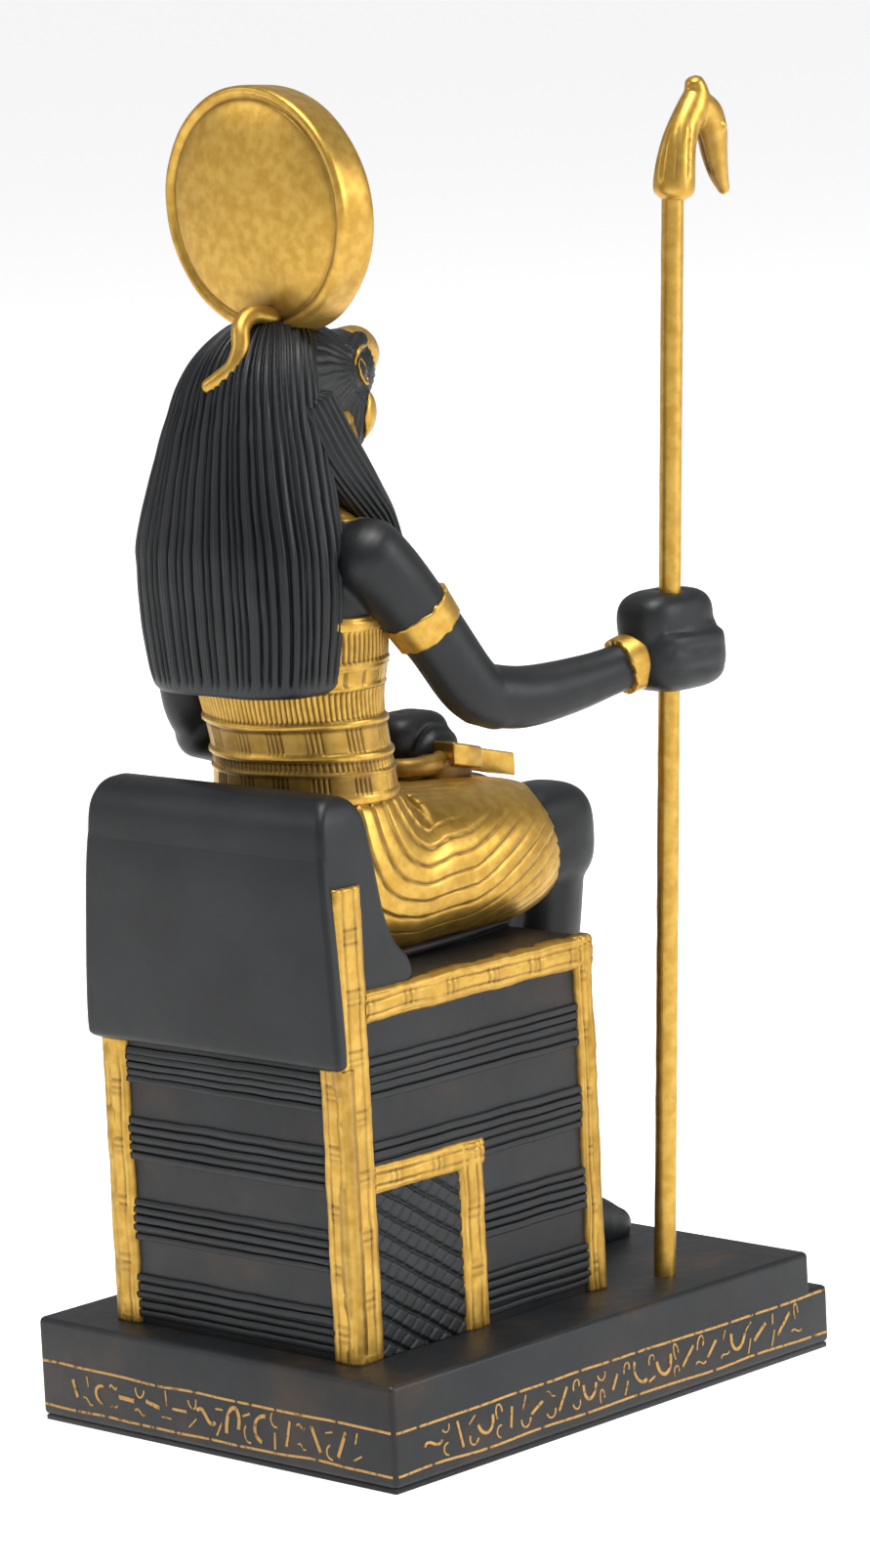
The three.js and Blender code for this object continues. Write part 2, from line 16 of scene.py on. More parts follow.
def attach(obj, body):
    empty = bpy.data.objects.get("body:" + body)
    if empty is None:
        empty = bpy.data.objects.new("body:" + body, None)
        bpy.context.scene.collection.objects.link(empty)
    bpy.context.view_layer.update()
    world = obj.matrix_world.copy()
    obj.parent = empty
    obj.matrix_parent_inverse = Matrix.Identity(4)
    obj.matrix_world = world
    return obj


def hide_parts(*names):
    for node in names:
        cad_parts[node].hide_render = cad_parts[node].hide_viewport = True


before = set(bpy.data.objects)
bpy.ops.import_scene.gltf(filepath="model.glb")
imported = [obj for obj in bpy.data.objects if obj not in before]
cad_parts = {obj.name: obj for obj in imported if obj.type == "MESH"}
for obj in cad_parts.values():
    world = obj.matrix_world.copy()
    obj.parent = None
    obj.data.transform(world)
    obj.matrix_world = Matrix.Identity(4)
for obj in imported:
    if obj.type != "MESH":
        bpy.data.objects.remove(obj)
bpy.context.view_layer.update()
MM = 0.001
print("nodes in the frame:", sorted(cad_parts))

# %% [markdown]
# ## The camera
# The camera stands where the photographer did, behind the figure and to its right. Its place and its
# three directions were found once, by matching edges of the plinth and the throne, and are kept as
# numbers, because a camera that is nearly right makes every later comparison wrong.

# %% Camera
VIEW_FROM = Vector((-0.61991645, 0.64519330, 0.24228104))
VIEW_RIGHT = Vector((-0.72860299, -0.68318651, -0.04892725))
VIEW_UP = Vector((0.07556810, -0.15117764, 0.98561391))
VIEW_ALONG = Vector((0.68075484, -0.71442390, -0.16177558))

product_camera = bpy.data.objects.new("product_camera", bpy.data.cameras.new("product_camera"))
product_camera.data.sensor_width = 36
product_camera.data.lens = 134.16
product_camera.matrix_world = Matrix.Translation(VIEW_FROM) @ Matrix(
    (VIEW_RIGHT, VIEW_UP, -VIEW_ALONG)
).transposed().to_4x4()
bpy.context.scene.collection.objects.link(product_camera)
bpy.context.scene.camera = product_camera
print("lens", round(product_camera.data.lens, 2), "mm")

# %% [markdown]
# ## Colours and shader nodes
# Paint is mixed on a screen, so colours are written as hex values and one function turns them
# to the linear values that a shader wants. One more function adds a node with its settings and links.


# %% Helpers for materials
def linear(hex_colour):
    value = int(hex_colour.lstrip("#"), 16)
    channels = [(value >> shift & 255) / 255 for shift in (16, 8, 0)]
    return [c / 12.92 if c <= 0.04045 else ((c + 0.055) / 1.055) ** 2.4 for c in channels] + [1.0]


def add(tree, kind, settings=None, links=None):
    node = tree.nodes.new(kind)
    for name, value in (settings or {}).items():
        if isinstance(name, str) and hasattr(node, name):
            setattr(node, name, value)
        else:
            node.inputs[name].default_value = value
    for socket, source in (links or {}).items():
        tree.links.new(source, node.inputs[socket])
    return node


# %% [markdown]
# ## The two paints
# *Satin black paint over cast resin*: a charcoal that is never pure black, a little mottled where the
# brush left it thicker, with a soft sheen; the base and the seat are rubbed brown. *Antique gold paint*:
# bronze powder in varnish, so it is nearly metallic, and a thin brown wash lies in every hollow and is
# wiped from what stands proud. Both coats end in one Principled shader. The carving tells the shader
# where the hollows are, through a vertex attribute that holds the wash, and where a mostly black piece
# is gilded, through `gilt`. The same attribute also lays painted shade in that brown: in the lines under
# the kilt's pleats, under the looped cross, under the sceptre's snout and low on the sun disk.

# %% Paint recipes
BLACK_THIN = "#191b1d"
BLACK_THICK = "#111315"
GOLD_BRIGHT = "#c09b4b"
GOLD_DEEP = "#ad8639"
# The brown of the wash in the hollows, and also of painted shade under and between parts.
WASH_AND_SHADE_BROWN = "#3d1f08"


def mixed(tree, factor, first, second):
    """A colour between two colours or sockets, by a factor socket."""
    node = add(tree, "ShaderNodeMix", {"data_type": "RGBA"}, {0: factor})
    for index, colour in ((6, first), (7, second)):
        if isinstance(colour, str):
            node.inputs[index].default_value = linear(colour)
        else:
            tree.links.new(colour, node.inputs[index])
    return node.outputs[2]


def between(tree, factor, low, high):
    """A number between two numbers or sockets, by a factor socket."""
    node = add(tree, "ShaderNodeMix", {"data_type": "FLOAT"}, {0: factor})
    for index, number in ((2, low), (3, high)):
        if isinstance(number, (int, float)):
            node.inputs[index].default_value = number
        else:
            tree.links.new(number, node.inputs[index])
    return node.outputs[0]


def ramped(tree, source, low, high):
    return add(tree, "ShaderNodeMapRange", {"interpolation_type": "SMOOTHSTEP", "From Min": low, "From Max": high},
               {"Value": source}).outputs[0]


def painted_resin(name, gilded, rubbed=0.0, rub_colour="#4a3420"):
    """gilded is 0 for black, 1 for gold, or "gilt" where the attribute of that name decides."""
    material = bpy.data.materials.new(name)
    material.use_nodes = True
    tree = material.node_tree
    tree.nodes.clear()
    place = add(tree, "ShaderNodeTexCoord").outputs["Object"]
    cloud = add(tree, "ShaderNodeTexNoise", {"Scale": 70, "Detail": 3}, {"Vector": place}).outputs[0]
    brush = add(tree, "ShaderNodeTexNoise", {"Scale": 520, "Detail": 3}, {"Vector": place}).outputs[0]
    grit = add(tree, "ShaderNodeTexNoise", {"Scale": 4200, "Detail": 2}, {"Vector": place}).outputs[0]
    black = mixed(tree, ramped(tree, cloud, 0.35, 0.7), BLACK_THICK, BLACK_THIN)
    if rubbed:
        wiped = add(tree, "ShaderNodeTexNoise", {"Scale": 55, "Detail": 5, "Roughness": 0.6}, {"Vector": place}).outputs[0]
        share = add(tree, "ShaderNodeMath", {"operation": "MULTIPLY", 1: rubbed}, {0: ramped(tree, wiped, 0.47, 0.72)})
        black = mixed(tree, share.outputs[0], black, rub_colour)
    black_rough = between(tree, brush, 0.38, 0.52)
    # Where the wash attribute is high the gold turns brown: real wash in the hollows, and painted shade where a piece
    # lays it where shade falls.
    wash_and_shade = add(tree, "ShaderNodeAttribute", {"attribute_name": "wash_and_shade"}).outputs["Fac"]
    wash_and_shade_share = add(tree, "ShaderNodeMath", {"operation": "MULTIPLY_ADD", 1: 0.16, "use_clamp": True},
                 {0: ramped(tree, cloud, 0.5, 0.75), 2: wash_and_shade}).outputs[0]
    gold = mixed(tree, wash_and_shade_share, mixed(tree, ramped(tree, brush, 0.3, 0.7), GOLD_DEEP, GOLD_BRIGHT), WASH_AND_SHADE_BROWN)
    gold_rough = between(tree, wash_and_shade_share, 0.37, 0.55)
    gold_metal = between(tree, wash_and_shade_share, 0.88, 0.3)
    if gilded == "gilt":
        gilt = add(tree, "ShaderNodeAttribute", {"attribute_name": "gilt"}).outputs["Fac"]
        ragged = add(tree, "ShaderNodeMath", {"operation": "MULTIPLY_ADD", 1: 0.5}, {0: brush, 2: gilt}).outputs[0]
        edge = ramped(tree, ragged, 0.7, 0.8)
        colour = mixed(tree, edge, black, gold)
        rough = between(tree, edge, black_rough, gold_rough)
        metal = between(tree, edge, 0.0, gold_metal)
    else:
        colour, rough, metal = (gold, gold_rough, gold_metal) if gilded else (black, black_rough, None)
    fine = add(tree, "ShaderNodeMath", {"operation": "MULTIPLY_ADD", 1: 0.3}, {0: grit, 2: brush}).outputs[0]
    bump = add(tree, "ShaderNodeBump", {"Strength": 0.3, "Distance": 0.00009}, {"Height": fine}).outputs[0]
    shader = add(tree, "ShaderNodeBsdfPrincipled", {"IOR": 1.38, "Metallic": 0.0},
                 {"Base Color": colour, "Roughness": rough, "Normal": bump})
    if metal:
        tree.links.new(metal, shader.inputs["Metallic"])
    add(tree, "ShaderNodeOutputMaterial", {}, {"Surface": shader.outputs[0]})
    return material


black_paint = painted_resin("satin_black_painted_resin", 0)
rubbed_black = painted_resin("satin_black_painted_resin_rubbed", 0, rubbed=0.55, rub_colour="#3a2a1c")
seat_paint = painted_resin("copper_brown_rubbed_resin", 0, rubbed=0.95, rub_colour="#3c2413")
gold_paint = painted_resin("antique_gold_painted_resin", 1)
parcel_gilt = painted_resin("parcel_gilt_painted_resin", "gilt")
print("paints:", [m.name for m in (black_paint, rubbed_black, seat_paint, gold_paint, parcel_gilt)])

# %% [markdown]
# ## Pieces from rows of points
# A carved figure could be sculpted, but here most forms follow a rule: rows of points are stacked or
# run along a limb, and skinned. `smooth_rows` draws a smooth curve through a short table of sizes,
# `ring` bends each row into an ellipse or a rounder box, and `Shell` closes the rows into a mesh whose
# faces point outwards. Carving is then a height that moves each point along its normal.


# %% Tables, rings and shells
def smooth_rows(table, count):
    """A Catmull-Rom curve through a table's rows, sampled evenly along its first three columns."""
    rows = np.asarray(table, float)
    padded = np.vstack([2 * rows[0] - rows[1], rows, 2 * rows[-1] - rows[-2]])
    t = np.linspace(0, 1, 24, endpoint=False)[:, None]
    spans = []
    for a, b, c, d in zip(padded[:-3], padded[1:-2], padded[2:-1], padded[3:]):
        spans.append(0.5 * (2 * b + (c - a) * t + (2 * a - 5 * b + 4 * c - d) * t ** 2
                            + (3 * b - a - 3 * c + d) * t ** 3))
    dense = np.vstack(spans + [rows[-1:]])
    walked = np.concatenate([[0], np.cumsum(np.linalg.norm(np.diff(dense[:, :3], axis=0), axis=1))])
    stops = np.linspace(0, walked[-1], count)
    return np.column_stack([np.interp(stops, walked, column) for column in dense.T])


def even_angles(count, half_a, half_b, power, weight=None):
    """Angles whose points stand evenly round a ring, or denser where weight(c, s) is larger."""
    fine = np.linspace(0, 2 * np.pi, 4097)
    x, y = ring_shape(fine, power)
    step = np.hypot(np.diff(x * half_a), np.diff(y * half_b))
    if weight is not None:
        middle = (fine[1:] + fine[:-1]) / 2
        step = step * weight(np.cos(middle), np.sin(middle))
    walked = np.concatenate([[0], np.cumsum(step)])
    return np.interp(np.arange(count) / count * walked[-1], walked, fine)


def ring_shape(angles, power):
    """The unit superellipse: a power of 2 is a circle, and more is boxier. A column of powers gives rows."""
    c, s = np.cos(angles), np.sin(angles)
    reach = (np.abs(c) ** power + np.abs(s) ** power) ** (-1 / power)
    return c * reach, s * reach


def tower(levels, rows, angles, power):
    """Level rings stacked upward. Each level is [z, middle y, half width, half depth]."""
    z, y, half_a, half_b = smooth_rows([[0, lv[1], lv[0], lv[2], lv[3]] for lv in levels], rows).T[[2, 1, 3, 4]]
    c, s = ring_shape(angles, power)
    return np.stack([half_a[:, None] * c, y[:, None] + half_b[:, None] * s, np.repeat(z[:, None], len(angles), 1)], 2)


def block_tower(levels, rows, angles):
    """Level rings given by their sides. Each level is [z, front y, rear y, half width, power]."""
    table = smooth_rows([[0, (f + r) / 2, z, half, (r - f) / 2, power] for z, f, r, half, power in levels], rows)
    c, s = ring_shape(angles[None, :], table[:, 5:6])
    return np.stack([table[:, 3:4] * c, table[:, 1:2] + table[:, 4:5] * s, np.repeat(table[:, 2:3], len(angles), 1)], 2)


def limb(stations, rows, points, power=2.0, blunt=0.6):
    """A limb along stations [x, y, z, half across, half the other way], with domed ends."""
    full = [list(s) + [s[3]] * (5 - len(s)) for s in stations]
    path = smooth_rows(full, rows)
    centre, half = path[:, :3], path[:, 3:]
    run = np.gradient(centre, axis=0)
    run /= np.linalg.norm(run, axis=1, keepdims=True)
    across = np.array([1.0, 0, 0]) - run * run[:, :1]
    across /= np.linalg.norm(across, axis=1, keepdims=True)
    other = np.cross(run, across)
    c, s = ring_shape(np.linspace(0, 2 * np.pi, points, endpoint=False), power)
    bend = np.radians([80, 60, 40, 20])

    def at(i, shift, scale):
        size = blunt * min(half[i])
        return (centre[i] + run[i] * shift * size + across[i] * (half[i, 0] * scale * c)[:, None]
                + other[i] * (half[i, 1] * scale * s)[:, None])

    start = [at(0, -np.sin(b), np.cos(b)) for b in bend]
    end = [at(-1, np.sin(b), np.cos(b)) for b in bend[::-1]]
    return np.array(start + [at(i, 0, 1) for i in range(rows)] + end)


def knob(centre, halves, power=2.7, rows=24, points=48):
    """A block whose corners and edges are well rounded, such as a fist."""
    height = np.sin(np.linspace(-0.5, 0.5, rows + 2)[1:-1] * np.pi)
    reach = (1 - np.abs(height) ** power) ** (1 / power)
    c, s = ring_shape(np.linspace(0, 2 * np.pi, points, endpoint=False), power)
    rings = [np.stack([halves[0] * r * c, halves[1] * r * s, np.full(points, halves[2] * h)], 1)
             for h, r in zip(height, reach)]
    return np.array(rings) + np.asarray(centre, float)


def normals_of(grid):
    round_ring = np.roll(grid, -1, 1) - np.roll(grid, 1, 1)
    out = np.cross(round_ring, np.gradient(grid, axis=0))
    return out / np.maximum(np.linalg.norm(out, axis=2, keepdims=True), 1e-9)


def shell(grid):
    """Rows of points as closed-mesh parts: (points, faces). Each end closes on its middle point."""
    rows, count = grid.shape[:2]
    points = np.vstack([grid.reshape(-1, 3), grid[0].mean(0), grid[-1].mean(0)])
    r, i = np.meshgrid(np.arange(rows - 1), np.arange(count), indexing="ij")
    a = (r * count + i).ravel()
    b = (r * count + (i + 1) % count).ravel()
    quads = np.column_stack([a, b, b + count, a + count]).tolist()
    first, last, top = rows * count, rows * count + 1, (rows - 1) * count
    fans = [[first, (k + 1) % count, k] for k in range(count)]
    fans += [[last, top + k, top + (k + 1) % count] for k in range(count)]
    return points, quads + fans


def spread_ends(values):
    """A value for each grid point, with the two end middles added, in the order that shell() uses."""
    return np.concatenate([values.ravel(), [values[0].mean(), values[-1].mean()]])


# %% [markdown]
# ## Making a finished piece
# Every piece is one mesh with its place in its points. It rides on the only body, stands for one of the
# imported nodes, and carries the one material that it is given.


# %% Finish a piece
def finish_piece(name, parts, material, node="statue", attributes=None, smooth=True):
    points, faces = parts
    mesh = bpy.data.meshes.new(name)
    mesh.from_pydata((np.asarray(points) * MM).tolist(), [], faces)
    mesh.materials.append(material)
    for label, values in (attributes or {}).items():
        layer = mesh.attributes.new(label, "FLOAT", "POINT")
        layer.data.foreach_set("value", np.asarray(values, np.float32))
    mesh.polygons.foreach_set("use_smooth", np.full(len(mesh.polygons), smooth))
    mesh.update()
    piece = bpy.data.objects.new(name, mesh)
    bpy.context.scene.collection.objects.link(piece)
    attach(piece, "root")
    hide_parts(node)
    triangles = sum(len(p.vertices) - 2 for p in mesh.polygons)
    print(name, triangles, "triangles")
    return piece


def several(parts_list):
    """Joins (points, faces) parts into one."""
    points, faces, start = [], [], 0
    for part_points, part_faces in parts_list:
        points.append(np.asarray(part_points))
        faces += [[index + start for index in face] for face in part_faces]
        start += len(part_points)
    return np.vstack(points), faces


# %% [markdown]
# ## Forms that were cast as one
# Where an arm grows from a shoulder or a foot from a shin, the casting has no seam: the forms melt into
# each other with a small hollow. Overlapping shells are joined by a voxel remesh and then smoothed a
# little, which gives that soft hollow. The points come back as numbers, so they can still be carved.


# %% Melt shells together
def melt(grids, voxel, passes):
    points, faces = several([shell(grid) for grid in grids])
    mesh = bpy.data.meshes.new("melt")
    mesh.from_pydata(points.tolist(), [], faces)
    lump = bpy.data.objects.new("melt", mesh)
    bpy.context.scene.collection.objects.link(lump)
    remesh = lump.modifiers.new("voxels", "REMESH")
    remesh.mode = "VOXEL"
    remesh.voxel_size = voxel
    soften = lump.modifiers.new("soften", "SMOOTH")
    soften.factor = 0.5
    soften.iterations = passes
    result = bpy.data.meshes.new_from_object(lump.evaluated_get(bpy.context.evaluated_depsgraph_get()))
    bpy.data.objects.remove(lump)
    places = np.empty(len(result.vertices) * 3)
    result.vertices.foreach_get("co", places)
    directions = np.empty(len(result.vertices) * 3)
    result.vertex_normals.foreach_get("vector", directions)
    polygons = [list(p.vertices) for p in result.polygons]
    bpy.data.meshes.remove(result)
    return places.reshape(-1, 3), directions.reshape(-1, 3), polygons


# %% [markdown]
# ## A hand's unevenness
# Nothing on the casting is ruled. `wander` is a smooth random walk for the edge of a brushed line, and
# `mottle` is a gentle random height in space. Both have fixed seeds, so every run gives the same piece.


# %% Wander and mottle
def wander(count, reach, seed):
    steps = np.random.default_rng(seed).standard_normal(count + 4 * reach)
    window = np.hanning(2 * reach + 1)
    window /= np.sqrt((window ** 2).sum())
    return np.convolve(steps, window, "same")[2 * reach:2 * reach + count]


def mottle(points, size, seed):
    dice = np.random.default_rng(seed)
    total = np.zeros(points.shape[:-1])
    for _ in range(9):
        wave = dice.standard_normal(3)
        wave *= 2 * np.pi / size * dice.uniform(0.6, 1.6) / np.linalg.norm(wave)
        total += np.cos(points @ wave + dice.uniform(0, 6.28))
    return total / 3


def groove(phase, width):
    """1 in the middle of a groove and 0 away from it; phase counts grooves, width is a share of one."""
    away = np.abs((phase + 0.5) % 1 - 0.5)
    return np.exp(-(away / width) ** 2)


def rise(values, low, high):
    t = np.clip((values - low) / (high - low), 0, 1)
    return t * t * (3 - 2 * t)


# %% [markdown]
# ## Plinth
# The plinth is a lower slab with a narrower one on it, which stands back at the front only. Its side
# outline is pushed across and its edges are bevelled, as the mould's are. The top is rubbed brown.

# %% Plinth sizes and body
PLINTH_HALF_WIDTH = 38.08
PLINTH_HALF_DEPTH = 50.28
PLINTH_TOP = 16.5
LEDGE_HEIGHT = 10.2
LEDGE_DEPTH = 4.3
FELT_TOP = 0.8


def bevelled(points, faces, width, segments, subdivide=0):
    """A box-like outline with rounded edges: (points, faces)."""
    tool = bmesh.new()
    corners = [tool.verts.new(point) for point in points]
    for face in faces:
        tool.faces.new([corners[index] for index in face])
    bmesh.ops.recalc_face_normals(tool, faces=tool.faces)
    bmesh.ops.bevel(tool, geom=tool.edges[:], offset=width, segments=segments, profile=0.5,
                    affect="EDGES", clamp_overlap=True)
    tool.verts.index_update()
    made = np.array([vertex.co[:] for vertex in tool.verts]), [[v.index for v in f.verts] for f in tool.faces]
    tool.free()
    return made


def pushed(outline, low, high):
    """A side outline of (y, z) pairs pushed across from x = low to x = high."""
    count = len(outline)
    points = [(x, y, z) for x in (low, high) for y, z in outline]
    faces = [list(range(count))[::-1], list(range(count, 2 * count))]
    faces += [[i, (i + 1) % count, count + (i + 1) % count, count + i] for i in range(count)]
    return points, faces


plinth_outline = [
    (PLINTH_HALF_DEPTH, FELT_TOP + 0.02), (PLINTH_HALF_DEPTH, PLINTH_TOP),
    (LEDGE_DEPTH - PLINTH_HALF_DEPTH, PLINTH_TOP), (LEDGE_DEPTH - PLINTH_HALF_DEPTH, LEDGE_HEIGHT),
    (-PLINTH_HALF_DEPTH, LEDGE_HEIGHT), (-PLINTH_HALF_DEPTH, FELT_TOP + 0.02),
]
plinth = finish_piece("plinth", bevelled(*pushed(plinth_outline, -PLINTH_HALF_WIDTH, PLINTH_HALF_WIDTH), 0.9, 4),
                      rubbed_black)

# %% [markdown]
# ## Throne block
# The block carries everything else. Its fields are plain, and what is carved on it is made piece by
# piece below: bands of thin ribs, a crosshatched panel and a gold frame.

# %% Throne block
FIELD_HALF_WIDTH = 25.2
FRAME_HALF_WIDTH = 26.2
FIELD_REAR = 43.9
FRAME_REAR = 44.7
FIELD_FRONT = -10.8
FRAME_FRONT = -11.4
SEAT_HEIGHT = 72.6

throne_outline = [
    (FIELD_REAR, PLINTH_TOP - 1), (FIELD_REAR, SEAT_HEIGHT), (FIELD_FRONT, SEAT_HEIGHT), (FIELD_FRONT, PLINTH_TOP - 1),
]
throne_block = finish_piece(
    "throne_block", bevelled(*pushed(throne_outline, -FIELD_HALF_WIDTH, FIELD_HALF_WIDTH), 1.1, 5), rubbed_black)

# %% [markdown]
# ## Bands of ribs
# Each face of the throne has bands of four thin ribs, cut by hand, so they wander and vary. They repeat,
# so a Geometry Nodes tree makes them: a line of points up the band, a rounded strip on each, and a
# small shift of the finished surface by noise. The tree's length, pitch and thickness are inputs.


# %% Geometry Nodes helpers
def new_tree(name, inputs):
    tree = bpy.data.node_groups.new(name, "GeometryNodeTree")
    sockets = {}
    for label, kind, value in inputs:
        socket = tree.interface.new_socket(label, in_out="INPUT", socket_type=kind)
        if value is not None:
            socket.default_value = value
        sockets[label] = socket.identifier
    tree.interface.new_socket("Geometry", in_out="OUTPUT", socket_type="NodeSocketGeometry")
    return tree, add(tree, "NodeGroupInput"), sockets


def grown(tree, sockets, values):
    """Runs a tree on an empty mesh with these inputs and returns (points in mm, faces)."""
    seed_object = bpy.data.objects.new("grown", bpy.data.meshes.new("grown"))
    bpy.context.scene.collection.objects.link(seed_object)
    modifier = seed_object.modifiers.new("tree", "NODES")
    modifier.node_group = tree
    for label, value in values.items():
        modifier[sockets[label]] = value
    seed_object.update_tag()
    mesh = bpy.data.meshes.new_from_object(seed_object.evaluated_get(bpy.context.evaluated_depsgraph_get()))
    seed_object.modifiers.remove(modifier)
    bpy.data.objects.remove(seed_object)
    points = np.array([v.co[:] for v in mesh.vertices])
    faces = [list(p.vertices) for p in mesh.polygons]
    bpy.data.meshes.remove(mesh)
    return points, faces


# %% Rib tree: ribs run along X, stack along Z and stand out along Y
rib_tree, given, rib_sockets = new_tree("rib_band", [
    ("Count", "NodeSocketInt", 4), ("Pitch", "NodeSocketFloat", 1.7), ("Length", "NodeSocketFloat", 40.0),
    ("Proud", "NodeSocketFloat", 0.7), ("Seed", "NodeSocketInt", 1), ("Paint", "NodeSocketMaterial", None),
])
pitch_step = add(rib_tree, "ShaderNodeCombineXYZ", {}, {"Z": given.outputs["Pitch"]})
stack = add(rib_tree, "GeometryNodeMeshLine", {"mode": "OFFSET"},
            {"Count": given.outputs["Count"], "Offset": pitch_step.outputs[0]})
half_length = add(rib_tree, "ShaderNodeMath", {"operation": "MULTIPLY", 1: 0.5}, {0: given.outputs["Length"]})
less_half = add(rib_tree, "ShaderNodeMath", {"operation": "MULTIPLY", 1: -0.5}, {0: given.outputs["Length"]})
rib_start = add(rib_tree, "ShaderNodeCombineXYZ", {}, {"X": less_half.outputs[0]})
rib_end = add(rib_tree, "ShaderNodeCombineXYZ", {}, {"X": half_length.outputs[0]})
rib_line = add(rib_tree, "GeometryNodeCurvePrimitiveLine", {}, {"Start": rib_start.outputs[0], "End": rib_end.outputs[0]})
rib_path = add(rib_tree, "GeometryNodeResampleCurve", {"Count": 32}, {"Curve": rib_line.outputs[0]})
rib_width = add(rib_tree, "ShaderNodeMath", {"operation": "MULTIPLY", 1: 0.86}, {0: given.outputs["Pitch"]})
rib_depth = add(rib_tree, "ShaderNodeMath", {"operation": "MULTIPLY", 1: 2.0}, {0: given.outputs["Proud"]})
rib_section = add(rib_tree, "GeometryNodeCurvePrimitiveQuadrilateral", {},
                  {"Width": rib_width.outputs[0], "Height": rib_depth.outputs[0]})
rib_rounded = add(rib_tree, "GeometryNodeFilletCurve", {"mode": "POLY", "Radius": 0.26, "Count": 2},
                  {"Curve": rib_section.outputs[0]})
rib_bar = add(rib_tree, "GeometryNodeCurveToMesh", {"Fill Caps": True},
              {"Curve": rib_path.outputs[0], "Profile Curve": rib_rounded.outputs[0]})
rib_tilt = add(rib_tree, "FunctionNodeRandomValue", {"data_type": "FLOAT_VECTOR", "Min": (-0.12, -0.008, 0), "Max": (0.12, 0.008, 0)},
               {"Seed": given.outputs["Seed"]})
rib_size = add(rib_tree, "FunctionNodeRandomValue", {"data_type": "FLOAT_VECTOR", "Min": (1, 0.7, 0.8), "Max": (1, 1.2, 1.04)},
               {"Seed": given.outputs["Seed"]})
rib_copies = add(rib_tree, "GeometryNodeInstanceOnPoints", {}, {
    "Points": stack.outputs["Mesh"], "Instance": rib_bar.outputs[0],
    "Rotation": rib_tilt.outputs[0], "Scale": rib_size.outputs[0],
})
rib_real = add(rib_tree, "GeometryNodeRealizeInstances", {}, {"Geometry": rib_copies.outputs[0]})
rib_noise = add(rib_tree, "ShaderNodeTexNoise", {"noise_dimensions": "4D", "Scale": 0.16, "Detail": 2.0},
                {"W": given.outputs["Seed"]})
rib_centred = add(rib_tree, "ShaderNodeVectorMath", {"operation": "SUBTRACT", 1: (0.5, 0.5, 0.5)}, {0: rib_noise.outputs["Color"]})
rib_shift = add(rib_tree, "ShaderNodeVectorMath", {"operation": "MULTIPLY", 1: (0, 0.2, 0.45)}, {0: rib_centred.outputs[0]})
rib_moved = add(rib_tree, "GeometryNodeSetPosition", {}, {"Geometry": rib_real.outputs[0], "Offset": rib_shift.outputs[0]})
rib_painted = add(rib_tree, "GeometryNodeSetMaterial", {}, {"Geometry": rib_moved.outputs[0], "Material": given.outputs["Paint"]})
add(rib_tree, "NodeGroupOutput", {}, {"Geometry": rib_painted.outputs[0]})

# %% Ribs on the sides and the rear
RIB_BANDS = [[17.6, 24.6], [29.8, 36.6], [42.4, 49.5], [55.6, 62.4]]
REAR_TOP_BAND = [54.6, 60.4]
RIBS_PER_BAND = 5
RIB_PROUD = 0.62


def rib_band(band, length, centre, out, along, seed):
    """One band of ribs, grown flat and then turned on to its face."""
    pitch = (band[1] - band[0]) / RIBS_PER_BAND
    points, faces = grown(rib_tree, rib_sockets, {
        "Count": RIBS_PER_BAND, "Pitch": pitch, "Length": length, "Proud": RIB_PROUD, "Seed": seed, "Paint": black_paint,
    })
    turn = np.array([along, out, (0, 0, 1)], float)
    placed = points @ turn + np.array([*centre, band[0] + pitch / 2])
    if np.linalg.det(turn) < 0:
        faces = [face[::-1] for face in faces]
    return placed, faces


ribs = []
for side in (-1, 1):
    for number, band in enumerate(RIB_BANDS):
        rear_end = 16 if band[0] < 41.5 else 39.5
        ribs.append(rib_band(band, rear_end + 9, (side * FIELD_HALF_WIDTH, (rear_end - 9) / 2),
                             (side, 0, 0), (0, -1, 0), 10 * number + side + 3))
for number, band in enumerate([*RIB_BANDS[:3], REAR_TOP_BAND]):
    ribs.append(rib_band(band, 43, (0, FIELD_REAR), (0, 1, 0), (-1, 0, 0), 50 + 10 * number))
throne_ribs = finish_piece("throne_ribs", several(ribs), black_paint)

# %% [markdown]
# ## Plates and strips
# The gold frame is a set of flat strips. Each has a pair of fine lines cut along it and an edge that the
# brush left ragged. A strip is a grid of points laid over its face, raised at its middle, cut by the
# lines, with walls down to the block. The same plate carries the crosshatched panel.


